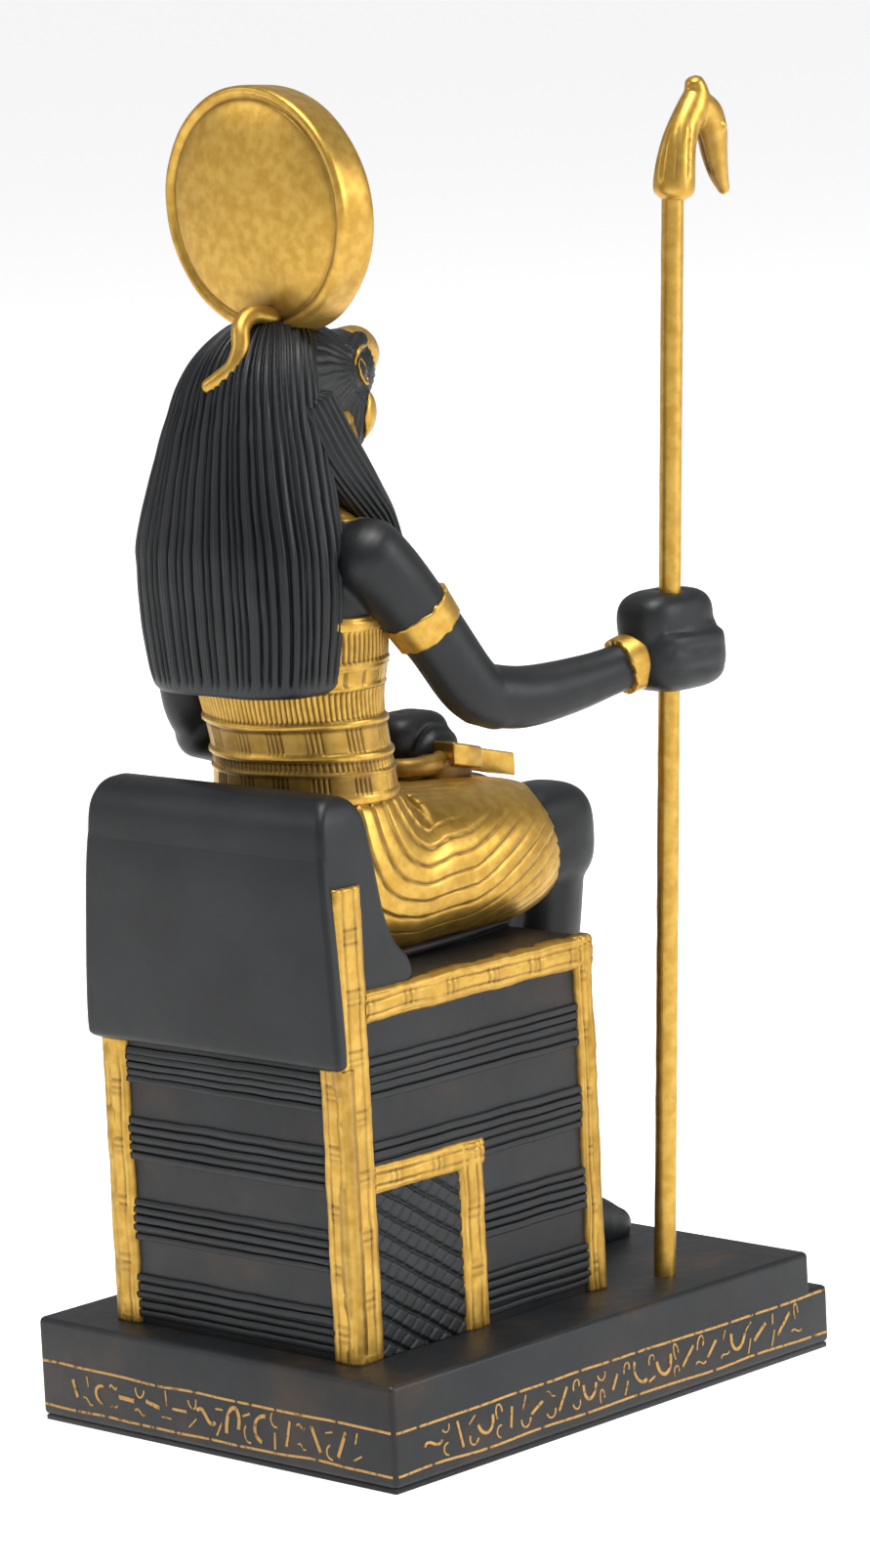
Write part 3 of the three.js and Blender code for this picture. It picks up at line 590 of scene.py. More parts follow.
# %% Plate
def plate(corner, along, up, out, size, cells, relief, ragged=0.0, seed=0, depth=1.4):
    """A closed plate: its face is a grid of cells on size = (length, width), raised by relief(u, v, size)."""
    corner, along, up, out = (np.asarray(v, float) for v in (corner, along, up, out))
    u, v = np.meshgrid(np.linspace(0, 1, cells[0] + 1), np.linspace(0, 1, cells[1] + 1), indexing="ij")
    low = ragged * (wander(cells[0] + 1, 12, seed) + 0.5 * wander(cells[0] + 1, 3, seed + 7))[:, None]
    high = ragged * (wander(cells[0] + 1, 12, seed + 1) + 0.5 * wander(cells[0] + 1, 3, seed + 8))[:, None]
    x = u * size[0]
    y = v * size[1] + low * (1 - v) + high * v
    height, wash_and_shade = relief(u, v, size)
    front = corner + x[..., None] * along + y[..., None] * up + height[..., None] * out
    rim = [(i, 0) for i in range(cells[0])] + [(cells[0], j) for j in range(cells[1])]
    rim += [(i, cells[1]) for i in range(cells[0], 0, -1)] + [(0, j) for j in range(cells[1], 0, -1)]
    index = np.arange(front.shape[0] * front.shape[1]).reshape(front.shape[:2])
    walls = np.array([front[i, j] for i, j in rim])
    walls = walls - ((walls - corner) @ out)[:, None] * out - depth * out
    points = np.vstack([front.reshape(-1, 3), walls])
    faces = np.stack([index[:-1, :-1], index[1:, :-1], index[1:, 1:], index[:-1, 1:]], -1).reshape(-1, 4).tolist()
    base = index.size
    top = [index[i, j] for i, j in rim]
    count = len(rim)
    faces += [[top[k], base + k, base + (k + 1) % count, top[(k + 1) % count]] for k in range(count)]
    faces.append([base + k for k in range(count)][::-1])
    if np.cross(along, up) @ out < 0:
        faces = [face[::-1] for face in faces]
    return (points, faces), np.concatenate([wash_and_shade.ravel(), np.zeros(count)])


# %% Gold frame strips
KNOT_PITCH = 9.2


def strip_relief(proud, seed):
    """A bead runs between two grooves, with knots of small rings on it, and a fine line near each edge."""
    def relief(u, v, size):
        across = (v - 0.5) * size[1] + 0.07 * wander(u.shape[0], 16, seed + 5)[:, None]
        along = u * size[0]
        edge = 1 - np.abs(2 * v - 1) ** 10
        wide = size[1]
        main = np.exp(-((np.abs(across) - 0.19 * wide) / 0.17) ** 2)
        side = np.exp(-((np.abs(across) - 0.37 * wide) / 0.12) ** 2)
        strength = np.clip(0.85 + 0.3 * wander(u.shape[0], 14, seed + 9)[:, None], 0.2, 1.3)
        bead = np.clip(1 - (across / (0.17 * wide)) ** 2, 0, 1)
        knot = (along + 2.1 * (seed % 4)) % KNOT_PITCH - KNOT_PITCH / 2
        rings = sum(np.exp(-((knot - place) / 0.2) ** 2) for place in (-1.1, 0, 1.1))
        knotted = rise(-np.abs(knot), -1.7, -1.3) * rise(-np.abs(across), -0.3 * wide, -0.2 * wide)
        height = proud * edge + 0.06 * bead + 0.06 * knotted
        height = height - (0.19 * main + 0.1 * side) * strength - 0.13 * rings * knotted
        height = height + 0.012 * wander(u.shape[0], 12, seed + 3)[:, None]
        return height, np.clip((0.55 * main + 0.35 * side) * strength + 0.5 * rings * knotted + 0.3 * (1 - edge), 0, 1)
    return relief


strips, strip_wash = [], []


def add_strip(corner, along, up, out, length, width, proud, seed):
    parts, wash_and_shade = plate(corner, along, up, out, (length, width), (max(16, int(length * 2.4)), 26),
                        strip_relief(proud, seed), ragged=0.07, seed=seed)
    strips.append(parts)
    strip_wash.append(wash_and_shade)


STRIP_PROUD = FRAME_HALF_WIDTH - FIELD_HALF_WIDTH - 0.12
BOTTOM = PLINTH_TOP
for side in (-1, 1):
    face = side * FIELD_HALF_WIDTH
    back = (0, -1, 0)
    up = (0, 0, 1)
    out = (side, 0, 0)
    add_strip((face, FRAME_REAR, BOTTOM), up, back, out, 88.6 - BOTTOM, 6.2, STRIP_PROUD, 11 + side)
    add_strip((face, FRAME_FRONT + 3.8, BOTTOM), up, back, out, SEAT_HEIGHT - BOTTOM, 3.8, STRIP_PROUD, 21 + side)
    add_strip((face, 39, SEAT_HEIGHT - 5), back, up, out, 39 - FRAME_FRONT, 5, STRIP_PROUD, 31 + side)
    add_strip((face, 39, 41.5), back, up, out, 39 - 15.1, 4.5, STRIP_PROUD, 41 + side)
    add_strip((face, 20.7, BOTTOM), up, back, out, 45.4 - BOTTOM, 5.6, STRIP_PROUD, 51 + side)
    inner = side * (FRAME_HALF_WIDTH - 5.5)
    add_strip((inner, FIELD_REAR, BOTTOM), up, (side, 0, 0), (0, 1, 0), 61.5 - BOTTOM, 5.5, FRAME_REAR - FIELD_REAR, 61 + side)
    inner = side * (FRAME_HALF_WIDTH - 3.8)
    add_strip((inner, FIELD_FRONT, BOTTOM), up, (side, 0, 0), (0, -1, 0), SEAT_HEIGHT - 1 - BOTTOM, 3.8, 0.6, 71 + side)
throne_frame = finish_piece("throne_frame", several(strips), gold_paint, attributes={"wash_and_shade": np.concatenate(strip_wash)})

# %% [markdown]
# ## Crosshatched panel
# The low rear corner of each side has a plain panel cut with two sets of slanting lines, one deeper.


# %% Crosshatched panels
def hatched(u, v, size):
    run, climb = u * size[0], v * size[1]
    waver = 0.1 * np.sin(run * 0.9 + climb * 0.5)
    deep = groove((run * 0.62 + climb) / 3.3 + waver * 0.3, 0.09)
    light = groove((run * 0.8 - climb) / 2.7 + 0.3 - waver * 0.4, 0.07)
    height = 0.5 - 0.5 * deep - 0.3 * light
    return height, np.zeros_like(height)


panels = []
for side in (-1, 1):
    parts, _ = plate((side * FIELD_HALF_WIDTH, 38.9, BOTTOM), (0, -1, 0), (0, 0, 1), (side, 0, 0), (18.4, 25.4),
                     (94, 130), hatched)
    panels.append(parts)
hatched_panels = finish_piece("hatched_panels", several(panels), black_paint)

# %% [markdown]
# ## Seat-back and cushion
# The seat-back is a thick pad that curls forward at its foot, with a broader strip down its rear that
# overhangs the ribs. A thin cushion with a corded edge lies under the figure.


# %% Seat-back
def slab_rows(profile, rows, corner, corner_points=7):
    """Level rows of a box with rounded upright edges. The profile is [z, front y, rear y, half width]."""
    table = smooth_rows([[0, p[1], p[0], p[2], p[3]] for p in profile], rows)
    turn = np.radians(np.concatenate([np.linspace(q, q + 90, corner_points) for q in (-90, 0, 90, 180)]))
    sx = np.repeat([1, 1, -1, -1], corner_points)
    sy = np.repeat([-1, 1, 1, -1], corner_points)
    grid = []
    for _, front, z, rear, half in table:
        middle, deep = (front + rear) / 2, (rear - front) / 2
        r = min(corner, deep * 0.9, half * 0.9)
        grid.append(np.stack([sx * (half - r) + r * np.cos(turn), middle + sy * (deep - r) + r * np.sin(turn),
                              np.full(len(turn), z)], 1))
    return np.array(grid)


seat_back_profile = [
    [62, 37, 45, 25.0], [70, 35, 46.4, 25.2], [72.4, 28.2, 46.5, 25.3], [75.4, 28, 46.5, 25.4], [79.2, 31.2, 46.5, 25.4],
    [84, 33.1, 46.4, 25.4], [93, 34.9, 46.1, 25.3], [97.6, 35.8, 45.7, 25.0], [100.2, 37, 44.6, 24.3],
    [101.5, 38.4, 43.3, 23.3], [102, 40, 41.8, 21.9],
]
rear_strip_profile = [
    [61.5, 44.6, 45.4, 25.6], [61.9, 44.2, 46.2, 26.5], [63, 44.1, 46.6, 27.0], [70, 44.1, 46.7, 26.8],
    [80, 44.1, 46.6, 26.2], [88, 44.1, 46.5, 25.6], [93, 44, 46.1, 25.2], [96, 44, 45.6, 24.6],
]
seat_back = finish_piece("seat_back", several([
    shell(slab_rows(seat_back_profile, 110, 1.3)), shell(slab_rows(rear_strip_profile, 70, 1.0)),
]), black_paint)

# %% Cushion with its corded edge
cushion_edge = [
    [-8.6, -14.5, 73.4, 0.75], [-8.9, -13, 73.5, 0.75], [-12.3, 4, 73.5, 0.8], [-13.3, 16.5, 73.5, 0.8], [-13.6, 30, 73.4, 0.8],
]
cords = []
for side in (-1, 1):
    path = [[-side * x, y, z, r] for x, y, z, r in cushion_edge]
    cords.append(shell(limb(path, 60, 16)))
cushion_body = limb([[0, 32, 72.6, 13, 1.4], [0, 4, 72.7, 12.2, 1.4], [0, -13.5, 72.7, 9, 1.4]], 40, 64, power=5)
seat_cushion = finish_piece("seat_cushion", several([shell(cushion_body), *cords]), seat_paint)

# %% [markdown]
# ## Black limbs
# The shoulders, arms and fists are melted together in one piece, and so are the legs and feet. The
# fists get a lower block of fingers and an upper block of thumb, which leaves a soft ridge between.

# %% Arms, shoulders and fists
right_arm = [
    limb([[-17.4, 25.4, 135.6, 6.3, 6], [-18.8, 21.6, 131, 5.9, 5.8], [-20.6, 15, 122.6, 4.9, 5.2],
          [-22, 9, 114, 4.7, 5], [-22.6, 4, 111, 4.6, 4.6]], 50, 40, blunt=0.85),
    limb([[-22, 8, 112.6, 4.6, 4.8], [-23.6, 0, 111, 4.6, 4.8], [-26, -8, 111.6, 4.2, 4.3],
          [-28.6, -16, 113.2, 3.6, 3.7], [-30, -21.5, 114.8, 4, 4]], 50, 40),
    knob([-31.6, -26.9, 114.6], [6.1, 8.3, 5.6], 3.4),
    knob([-31, -26, 120], [5.5, 8, 4.9], 3),
]
left_arm = [
    limb([[17.4, 26.4, 136, 5.6, 5.6], [18.8, 27, 131.4, 5.9, 5.8], [20.6, 26.6, 122, 5, 5.1],
          [21, 25.4, 112, 4.8, 5.2], [20.8, 23, 107.4, 4.9, 5.2]], 50, 40, blunt=0.85),
    limb([[20.8, 25, 107.2, 4.9, 5], [19, 17, 104.8, 4.9, 4.9], [14.6, 6, 103.4, 4.3, 4.3],
          [9.6, -2.4, 102.2, 3.7, 3.7], [7, -6, 101.8, 4, 4]], 50, 40),
    knob([5.6, -5.6, 101.8], [5, 6.6, 4.4], 3),
    knob([2.8, -8, 100.4], [3.2, 4.6, 3], 2.5),
]
torso_levels = [
    [84, 24, 17, 10], [93, 23.2, 16, 10.8], [100, 23.1, 15.3, 10.9], [107, 24, 15.1, 10.8],
    [113, 25.2, 15.5, 11.1], [120, 25.6, 17, 12], [127, 25.8, 17.8, 11.8], [134, 26.2, 17.8, 10],
    [139, 26.4, 16.4, 8.2], [142.6, 26.6, 12, 6],
]
circle = np.linspace(0, 2 * np.pi, 96, endpoint=False)
chest = tower([[z, y, a - 0.4, b - 0.4] for z, y, a, b in torso_levels[3:]], 50, circle, 2.2)
neck = tower([[134, 22, 10, 8], [146, 21.4, 9.4, 8.6], [156, 22.5, 9, 9]], 20, circle[::2], 2.3)
places, directions, polygons = melt([*right_arm, *left_arm, chest, neck], 0.46, 7)

ROD_FOOT = np.array([-28.1, -22.6, 16.5])
ROD_LEAN = np.array([-6, -5.8, 168.0]) / np.linalg.norm([-6, -5.8, 168.0])
from_rod = places - ROD_FOOT
along_rod = from_rod @ ROD_LEAN
off_rod = np.linalg.norm(from_rod - along_rod[:, None] * ROD_LEAN, axis=1)
on_fist = rise(along_rod, 102, 104)
dimple = 0.9 * np.exp(-(off_rod / 2.6) ** 2) * on_fist
chipped = on_fist * rise(-off_rod, -2.6, -2.0) * 0.55


def near_line(points, line):
    """The distance from each point to a smooth line."""
    path = smooth_rows(line, 40)
    return np.min(np.linalg.norm(points[:, None, :] - path[None, :, :3], axis=2), axis=1)


fold = np.zeros(len(places))
on_lap_hand = (np.abs(places[:, 0] - 3) < 9) & (np.abs(places[:, 1] + 6) < 11) & (np.abs(places[:, 2] - 101) < 9)
hand = places[on_lap_hand]
thumb = [[0.2, -2.4, 100.4], [0.8, -5.0, 103], [1.6, -7.6, 103.4], [1.4, -10.4, 101.4]]
fold[on_lap_hand] += 1.1 * np.exp(-(near_line(hand, thumb) / 0.85) ** 2)
for step in range(3):
    knuckle = [[9.6, -3 - 2.6 * step, 99], [8.6, -3.4 - 2.6 * step, 104.4], [5, -3.8 - 2.6 * step, 106]]
    fold[on_lap_hand] += 0.3 * np.exp(-(near_line(hand, knuckle) / 0.6) ** 2)
on_rod_hand = (places[:, 1] < -19) & (places[:, 0] < -24)
grip = places[on_rod_hand]
for step in range(3):
    between_fingers = [[-36.4, -21, 113 + 3 * step], [-37.6, -27, 112.6 + 3 * step], [-35, -34, 112.4 + 3 * step], [-29, -35, 112.4 + 3 * step]]
    fold[on_rod_hand] += 0.4 * np.exp(-(near_line(grip, between_fingers) / 0.7) ** 2)

from_neck = places - np.array([0, 21, 147.0])
reach = np.linalg.norm(from_neck, axis=1)
swing = np.arctan2(from_neck[:, 1], from_neck[:, 0])
scallop = 16.7 + 0.7 * np.abs(np.sin(8 * swing))
collar = rise(scallop - reach, -0.2, 0.25) * rise(places[:, 2], 128, 129)
rays = groove(8 * swing / np.pi, 0.1)
hoop = groove((reach - 16) / 2.4, 0.09)
places = places - directions * (dimple + fold - collar * (0.45 - 0.25 * rays - 0.2 * hoop))[:, None]
upper_body = finish_piece("upper_body", (places, polygons), parcel_gilt, attributes={
    "gilt": np.clip(collar + chipped, 0, 1), "wash_and_shade": np.clip(0.4 * chipped + collar * (0.5 * rays + 0.5 * hoop), 0, 1)})

# %% Legs and feet
legs = []
for side in (-1, 1):
    legs += [
        knob([side * 9.2, -18.6, 85.6], [7.2, 8.6, 8.4], 3),
        limb([[side * 9.2, -8, 86, 7.6, 8], [side * 9.3, -18, 86.4, 7.2, 7.8]], 20, 40, blunt=0.3),
        limb([[side * 9.2, -18.8, 87, 6.8, 7.6], [side * 9, -19.4, 78, 6.2, 6.6], [side * 8.2, -19.4, 66, 5.4, 6],
              [side * 7, -19.4, 52, 4.9, 5.4], [side * 5.4, -19.2, 34, 3.8, 4.2], [side * 4.6, -19.2, 23, 3.6, 4.2]],
             60, 40, blunt=0.3),
        limb([[side * 4.3, -18, 20, 3.4, 4.6], [side * 4.4, -25, 21.2, 3.6, 5.2], [side * 4.2, -32, 19.8, 3.6, 4.5],
              [side * 4, -36.6, 18.4, 3.4, 3.3]], 40, 40, power=2.6, blunt=1.3),
    ]
web = tower([[PLINTH_TOP - 1, -14, 5, 6], [34, -14, 5.4, 6], [66, -14, 9, 6], [SEAT_HEIGHT + 4, -13, 11, 6]], 40,
            np.linspace(0, 2 * np.pi, 48, endpoint=False), 6)
places, directions, polygons = melt([*legs, web], 0.56, 5)
toe_gap = groove((np.abs(places[:, 0]) - 4.2) / 1.45 + 0.5, 0.16) * rise(-places[:, 1], 33.5, 36) * rise(places[:, 2], 17, 18.5)
places = places - directions * (0.5 * toe_gap)[:, None]
legs_and_feet = finish_piece("legs_and_feet", (places, polygons), black_paint)

# %% [markdown]
# ## Corselet
# The god wears a close feathered corselet, all gold. Its rows are cut in bands: strokes like quills,
# plain blocks with groups of strokes, and raised ribs between. The brown wash sits in every cut.

# %% Corselet
COLUMNS = 500
angles = even_angles(COLUMNS, 15.4, 11, 2.2)
corselet_levels = [
    [97.2, 23.1, 14.4, 10], [97.9, 23.1, 15.3, 10.9], [99.2, 23.1, 15.6, 11.2], [103, 23.4, 15.4, 11], [107, 24, 15.25, 10.95],
    [113, 25.2, 15.65, 11.25], [120, 25.6, 17.15, 12.15], [126, 25.8, 17.9, 12], [126.6, 25.8, 17.6, 11.7],
]
corselet = tower(corselet_levels, 116, angles, 2.2)
height = corselet[:, :, 2] + 0.3 * mottle(corselet, 26, 5)
round_it = np.arange(COLUMNS)[None, :] / COLUMNS
quills = groove(round_it * 98 + 0.12 * mottle(corselet, 9, 8), 0.17)
blocks = groove(round_it * 26 + 0.1, 0.035) + groove(round_it * 26 + 0.2, 0.035)
groups = groove(round_it * 104, 0.17) * rise(np.sin(2 * np.pi * round_it * 13 + 1), -0.1, 0.3)


def band(low, high, soft=0.2):
    return rise(height, low - soft, low + soft) * rise(-height, -high - soft, -high + soft)


relief = 0.42 * band(109.5, 110.5) + 0.42 * band(104.5, 105.5) + 0.25 * band(118.4, 118.9) + 0.25 * band(119.2, 119.6)
relief += 0.3 * band(124.7, 126.2) + 0.3 * band(102.2, 102.8) + 0.3 * band(98, 99.4) + 0.2 * band(115.3, 115.9)
cuts = 0.42 * quills * band(119.8, 124.4) + 0.45 * quills * band(110.8, 115.1) + 0.35 * groups * band(105.8, 109.2)
cuts += 0.3 * blocks * band(116, 118.2) + 0.3 * groups * band(99.7, 102) + 0.25 * quills * band(102.9, 104.3)
stain = 1.9 * cuts + 0.5 * (band(109, 109.5) + band(104, 104.5) + band(115.1, 115.4) + band(119.6, 119.9) + band(110.6, 110.9))
stain += 0.5 * band(99.6, 104.2, 0.4) * np.clip(0.6 + 0.8 * mottle(corselet, 9, 3), 0, 1) + 0.25 * band(105.7, 109.3, 0.4)
corselet = corselet + normals_of(corselet) * (relief - cuts)[..., None]
stain = np.clip(stain, 0, 1)
corselet_piece = finish_piece("corselet", shell(corselet), gold_paint, attributes={"wash_and_shade": spread_ends(stain)})

# %% [markdown]
# ## Kilt
# The kilt's pleats start at the small of the back, sweep down round the hip, and run forward over the
# thigh to the knee. Its rows fan round the crease of the lap and then go forward, so one pleat is one
# path through the rows, and a saw-tooth height gives each pleat its soft face and its sharp shadow.

# %% Kilt
KILT_COLUMNS = 380
CREASE = np.array([0, 11, 99.0])
fan_rows = [[4, 2, 24.4, 15.2], [10, 1.5, 24.8, 16.2], [30, 1, 27.4, 17.4], [50, 1, 30.4, 18.2], [70, 2, 28.6, 18.6]]
forward_rows = [[10, 98, 72, 18.8], [0, 97.6, 72, 18.7], [-9, 96.8, 72.2, 18], [-15, 95.6, 73.4, 16.6], [-18.6, 93.8, 75.4, 14.4]]
table = []
for degrees, near, far, half in fan_rows:
    out = np.array([0, np.cos(np.radians(degrees)), -np.sin(np.radians(degrees))])
    table.append([*(CREASE + out * (near + far) / 2), half, (far - near) / 2, out[1], out[2]])
for y, top, bottom, half in forward_rows:
    table.append([0, y, (top + bottom) / 2, half, (top - bottom) / 2, 0, -1])
table += [[0, -20.4, 84.6, 11, 6.4, 0, -1], [0, -21.2, 84.6, 6, 3, 0, -1]]
path = smooth_rows(table, 124)
angles = even_angles(KILT_COLUMNS, 18, 12.5, 2.5)
c, s = ring_shape(angles, 2.5)
down = np.column_stack([np.zeros(len(path)), path[:, 5:7]])
down /= np.linalg.norm(down, axis=1, keepdims=True)
kilt = (path[:, None, :3] - np.array([1.0, 0, 0]) * (path[:, 3:4] * c)[..., None]
        + down[:, None, :] * (path[:, 4:5] * s)[..., None])
travel = np.linspace(0, 1, len(path))[:, None]
around = np.arange(KILT_COLUMNS)[None, :] / KILT_COLUMNS
from_lap = 2 * np.abs((around + 0.25) % 1 - 0.5) * -1 + 1
climb = 5.5 * np.clip(travel - 0.5, 0, 1) ** 1.3 / 0.5 ** 1.3 + 1.2 * travel
phase = 19 * from_lap + climb + 0.12 * mottle(kilt, 26, 2)
tooth = phase % 1
pleat = 0.5 * np.sqrt(tooth) * (1 - rise(tooth, 0.92, 1.0)) - 0.26 * np.exp(-(np.minimum(tooth, 1 - tooth) / 0.05) ** 2)
smooth_top = rise(-from_lap, -0.42, -0.3) * rise(travel, 0.1, 0.4)
fade = (1 - smooth_top) * (0.85 + 0.15 * mottle(kilt, 22, 4)) * (0.3 + 0.7 * rise(-travel, -0.92, -0.66))
gather = groove(from_lap * 26 - 6 * travel, 0.16) * rise(-from_lap, -0.34, -0.1) * rise(travel, 0.2, 0.4) * rise(-travel, -0.68, -0.5)
crease_hollow = 0.8 * rise(-from_lap, -0.22, -0.04) * rise(travel, 0.35, 0.5)
# Painted shade: the dark line under each pleat's proud edge and along the gathers is painted brown into the gold.
shadow = np.exp(-(np.minimum(tooth, 1 - tooth) / 0.07) ** 2) * fade + 0.5 * gather
low_brown = 0.6 * rise(-kilt[:, :, 2], -76.5, -74)
kilt = kilt + normals_of(kilt) * ((pleat - 0.5) * fade - 0.3 * gather - crease_hollow)[..., None]
# The kilt's brown is this painted shade, plus more brown towards its lower edge.
kilt_shade_and_brown = np.clip(0.9 * shadow + low_brown, 0, 1)
kilt_piece = finish_piece("kilt", shell(kilt), gold_paint, attributes={"wash_and_shade": spread_ends(kilt_shade_and_brown)})

# %% [markdown]
# ## Wig
# The wig hangs in a broad block of locks with narrow deep cuts between them, finer beside the face. The
# locks meet under the sun disk, and stop at a smooth hem. Two front lappets come over the shoulders.

# %% Wig
WIG_COLUMNS = 700
wig_levels = [
    [115.2, 31, 40.8, 12, 2.6], [115.3, 29, 42, 14.4, 2.8], [116, 27.4, 42.7, 15.6, 3], [118, 26.4, 43.1, 16.2, 3.2],
    [126, 25.8, 43.6, 17.2, 3.2], [134, 25.4, 43.8, 17.6, 3.2], [138, 25.2, 43.7, 17.4, 3.2], [145, 24.4, 42.9, 15.6, 3.1],
    [151, 23.8, 41.8, 13.9, 3], [157, 23.6, 40.2, 12.2, 3], [162.5, 22.4, 38.2, 10.6, 2.8], [166.5, 21, 35.6, 8.8, 2.5],
    [169.2, 19.8, 32.6, 6.4, 2.2], [170.6, 21, 29.8, 4, 2], [171, 23, 27.6, 2, 2],
]
angles = even_angles(WIG_COLUMNS, 17.4, 9, 3.2)
wig = block_tower(wig_levels, 76, angles)
dice = np.random.default_rng(21)
widths = dice.uniform(0.6, 1.7, 54)
cut_places = np.concatenate([[0], np.cumsum(widths) / widths.sum()])


def strand_cuts(grid, cuts_at, drift, width, deepest):
    """Narrow cuts between flat locks: (height, how close the next cut is)."""
    share = (np.arange(grid.shape[1])[None, :] / grid.shape[1] + drift) % 1
    girth = np.linalg.norm(np.roll(grid, -1, 1) - grid, axis=2).sum(1)[:, None]
    order = np.clip(np.searchsorted(cuts_at, share), 1, len(cuts_at) - 1)
    left = share - cuts_at[order - 1]
    right = cuts_at[order] - share
    away = np.minimum(left, right) * girth
    lock_width = (left + right) * girth
    depth = deepest * np.clip(lock_width / 1.5, 0.25, 1.15)
    crown = 0.16 * np.clip(1 - (2 * away / np.maximum(lock_width, 0.1) - 1) ** 2, 0, 1)
    return crown - depth * np.exp(-(away / width) ** 2)


height = strand_cuts(wig, cut_places, 0.0035 * mottle(wig, 40, 12), 0.24, 0.66)
fine_lines = groove(np.arange(WIG_COLUMNS)[None, :] / WIG_COLUMNS * 148 + 0.5 * mottle(wig, 30, 15), 0.2)
on_locks = rise(wig[:, :, 2], 116.9, 118.4)
height = height * on_locks - 0.1 * fine_lines * on_locks + 0.05 * mottle(wig, 9, 1)
wig = wig + normals_of(wig) * height[..., None]
wig_piece = finish_piece("wig", shell(wig), black_paint)

LAPPET_COLUMNS = 150
lappets = []
for side in (-1, 1):
    grid = limb([
        [side * 10.2, 28, 158, 2, 4.2], [side * 11.2, 25.7, 152, 2.6, 4.3], [side * 11.7, 23.2, 147.6, 3, 4],
        [side * 11.6, 20.4, 143.6, 3.6, 3.4], [side * 10.8, 17, 139.4, 4, 2.8], [side * 10, 14.6, 133.6, 4.2, 2.5],
        [side * 9.2, 13, 125.5, 4, 2.2],
    ], 76, LAPPET_COLUMNS, power=3, blunt=0.5)
    lappet_dice = np.random.default_rng(33)
    lock_widths = lappet_dice.uniform(0.6, 1.4, 20)
    lock_places = np.concatenate([[0], np.cumsum(lock_widths) / lock_widths.sum()])
    strands = strand_cuts(grid, lock_places, 0.004 * mottle(grid, 30, 3), 0.24, 0.55)
    hem = rise(grid[:, :, 2], 126, 127.5)
    lappets.append(shell(grid + normals_of(grid) * (strands * hem)[..., None]))
wig_lappets = finish_piece("wig_lappets", several(lappets), black_paint)

# %% [markdown]
# ## Falcon head
# The head is a bird's: a low skull, full cheeks and a short hooked beak, melted together. Its feathers
# are fine cuts that spread from the eye. The beak is gold, and so are the line round the eye, the brow
# and the lens-shaped mark under it.

# %% Falcon head
skull = limb([[0, 26, 160, 10, 9.5], [0, 20, 160.5, 9.8, 9.2], [0, 15, 160.8, 8.3, 8], [0, 11.4, 161.6, 6, 6.2]], 40, 56, blunt=0.9)
throat = limb([[0, 18.6, 157, 8, 6.2], [0, 19.6, 151, 8.4, 6], [0, 20.4, 144, 9, 7], [0, 23, 136, 10, 8]], 40, 56)
cheeks, eyes = [], []
for side in (-1, 1):
    cheeks.append(limb([[side * 4.8, 18, 161, 3.6, 4.2], [side * 4.8, 15.2, 156, 3.8, 4.9], [side * 4.2, 15.4, 152.4, 3.4, 3.7]], 24, 40, blunt=0.9))
    cheeks.append(limb([[side * 3, 9.6, 165.6, 1.2], [side * 5.4, 12.4, 166, 1.5], [side * 7.4, 16.6, 164.6, 1.2]], 20, 20))
    eyes.append(knob([side * 7, 14, 161.7], [1, 1.3, 1.5], 2, 20, 32))
places, directions, polygons = melt([skull, throat, *cheeks, *eyes], 0.34, 5)
head_surface = BVHTree.FromPolygons([Vector(p) for p in places], polygons)
EYE = np.array([14.0, 161.9])
from_eye = places[:, 1:] - EYE
ray = np.arctan2(from_eye[:, 1], from_eye[:, 0])
reach = np.linalg.norm(from_eye, axis=1)
feather = groove(ray * 6.2 + 0.05 * reach + 0.1 * mottle(places, 5, 4), 0.2) * rise(reach, 2.6, 3.6) * rise(-reach, -14, -10)
places = places - directions * (0.26 * feather * rise(np.abs(places[:, 0]), 2, 4))[:, None]
falcon_head = finish_piece("falcon_head", (places, polygons), black_paint)

beak = melt([
    limb([[0, 10, 164.8, 3.3, 3], [0, 7.4, 164.8, 3.1, 2.9], [0, 5.2, 163.2, 2.2, 2.3], [0, 4.7, 161, 1.1, 1.1]], 30, 32, blunt=0.6),
], 0.3, 3)
beak_piece = finish_piece("beak", (beak[0], beak[2]), gold_paint)


# %% [markdown]
# Painted lines lie on the surface they were brushed on. Each line is drawn from the side, as the brush
# met it; its points are dropped straight on the head, and a flattened bead is run along them.


# %% Painted lines on the head
def brushed_line(side, line, surface, width, samples=40, lift=0.05):
    """A line of (y, z) pairs, dropped on the head from the side."""
    path = smooth_rows([[0, y, z, width] for y, z in line], samples)
    on_it = []
    for _, y, z, _ in path:
        spot, out, _, _ = surface.ray_cast(Vector((side * 30, y, z)), Vector((-side, 0, 0)))
        on_it.append([*(spot + out * lift)])
    on_it = np.array(on_it)
    on_it[1:-1] = (on_it[:-2] + on_it[1:-1] + on_it[2:]) / 3
    swell = np.sin(np.linspace(0.3, np.pi - 0.3, samples)) ** 0.5
    stations = np.column_stack([on_it, width * swell, 0.7 * width * swell])
    return limb(stations.tolist(), samples, 12, blunt=1.0)


BROW_LINE = [(16.5, 163.0), (15.6, 164.6), (14, 165.4), (12.4, 165.4)]
LOWER_LID = [(15.5, 162.6), (15.3, 161.1), (14.1, 160), (12.6, 159.7), (11.9, 160.4)]
UPPER_LID = [(15.5, 162.4), (14.6, 163.3), (13.4, 163.4), (12.4, 162.6), (11.9, 161.2)]
face_lines = []
for side in (-1, 1):
    face_lines += [
        brushed_line(side, BROW_LINE, head_surface, 0.42), brushed_line(side, LOWER_LID, head_surface, 0.42),
        brushed_line(side, UPPER_LID, head_surface, 0.24),
    ]
eye_lines = finish_piece("eye_lines", several([shell(g) for g in face_lines]), gold_paint)

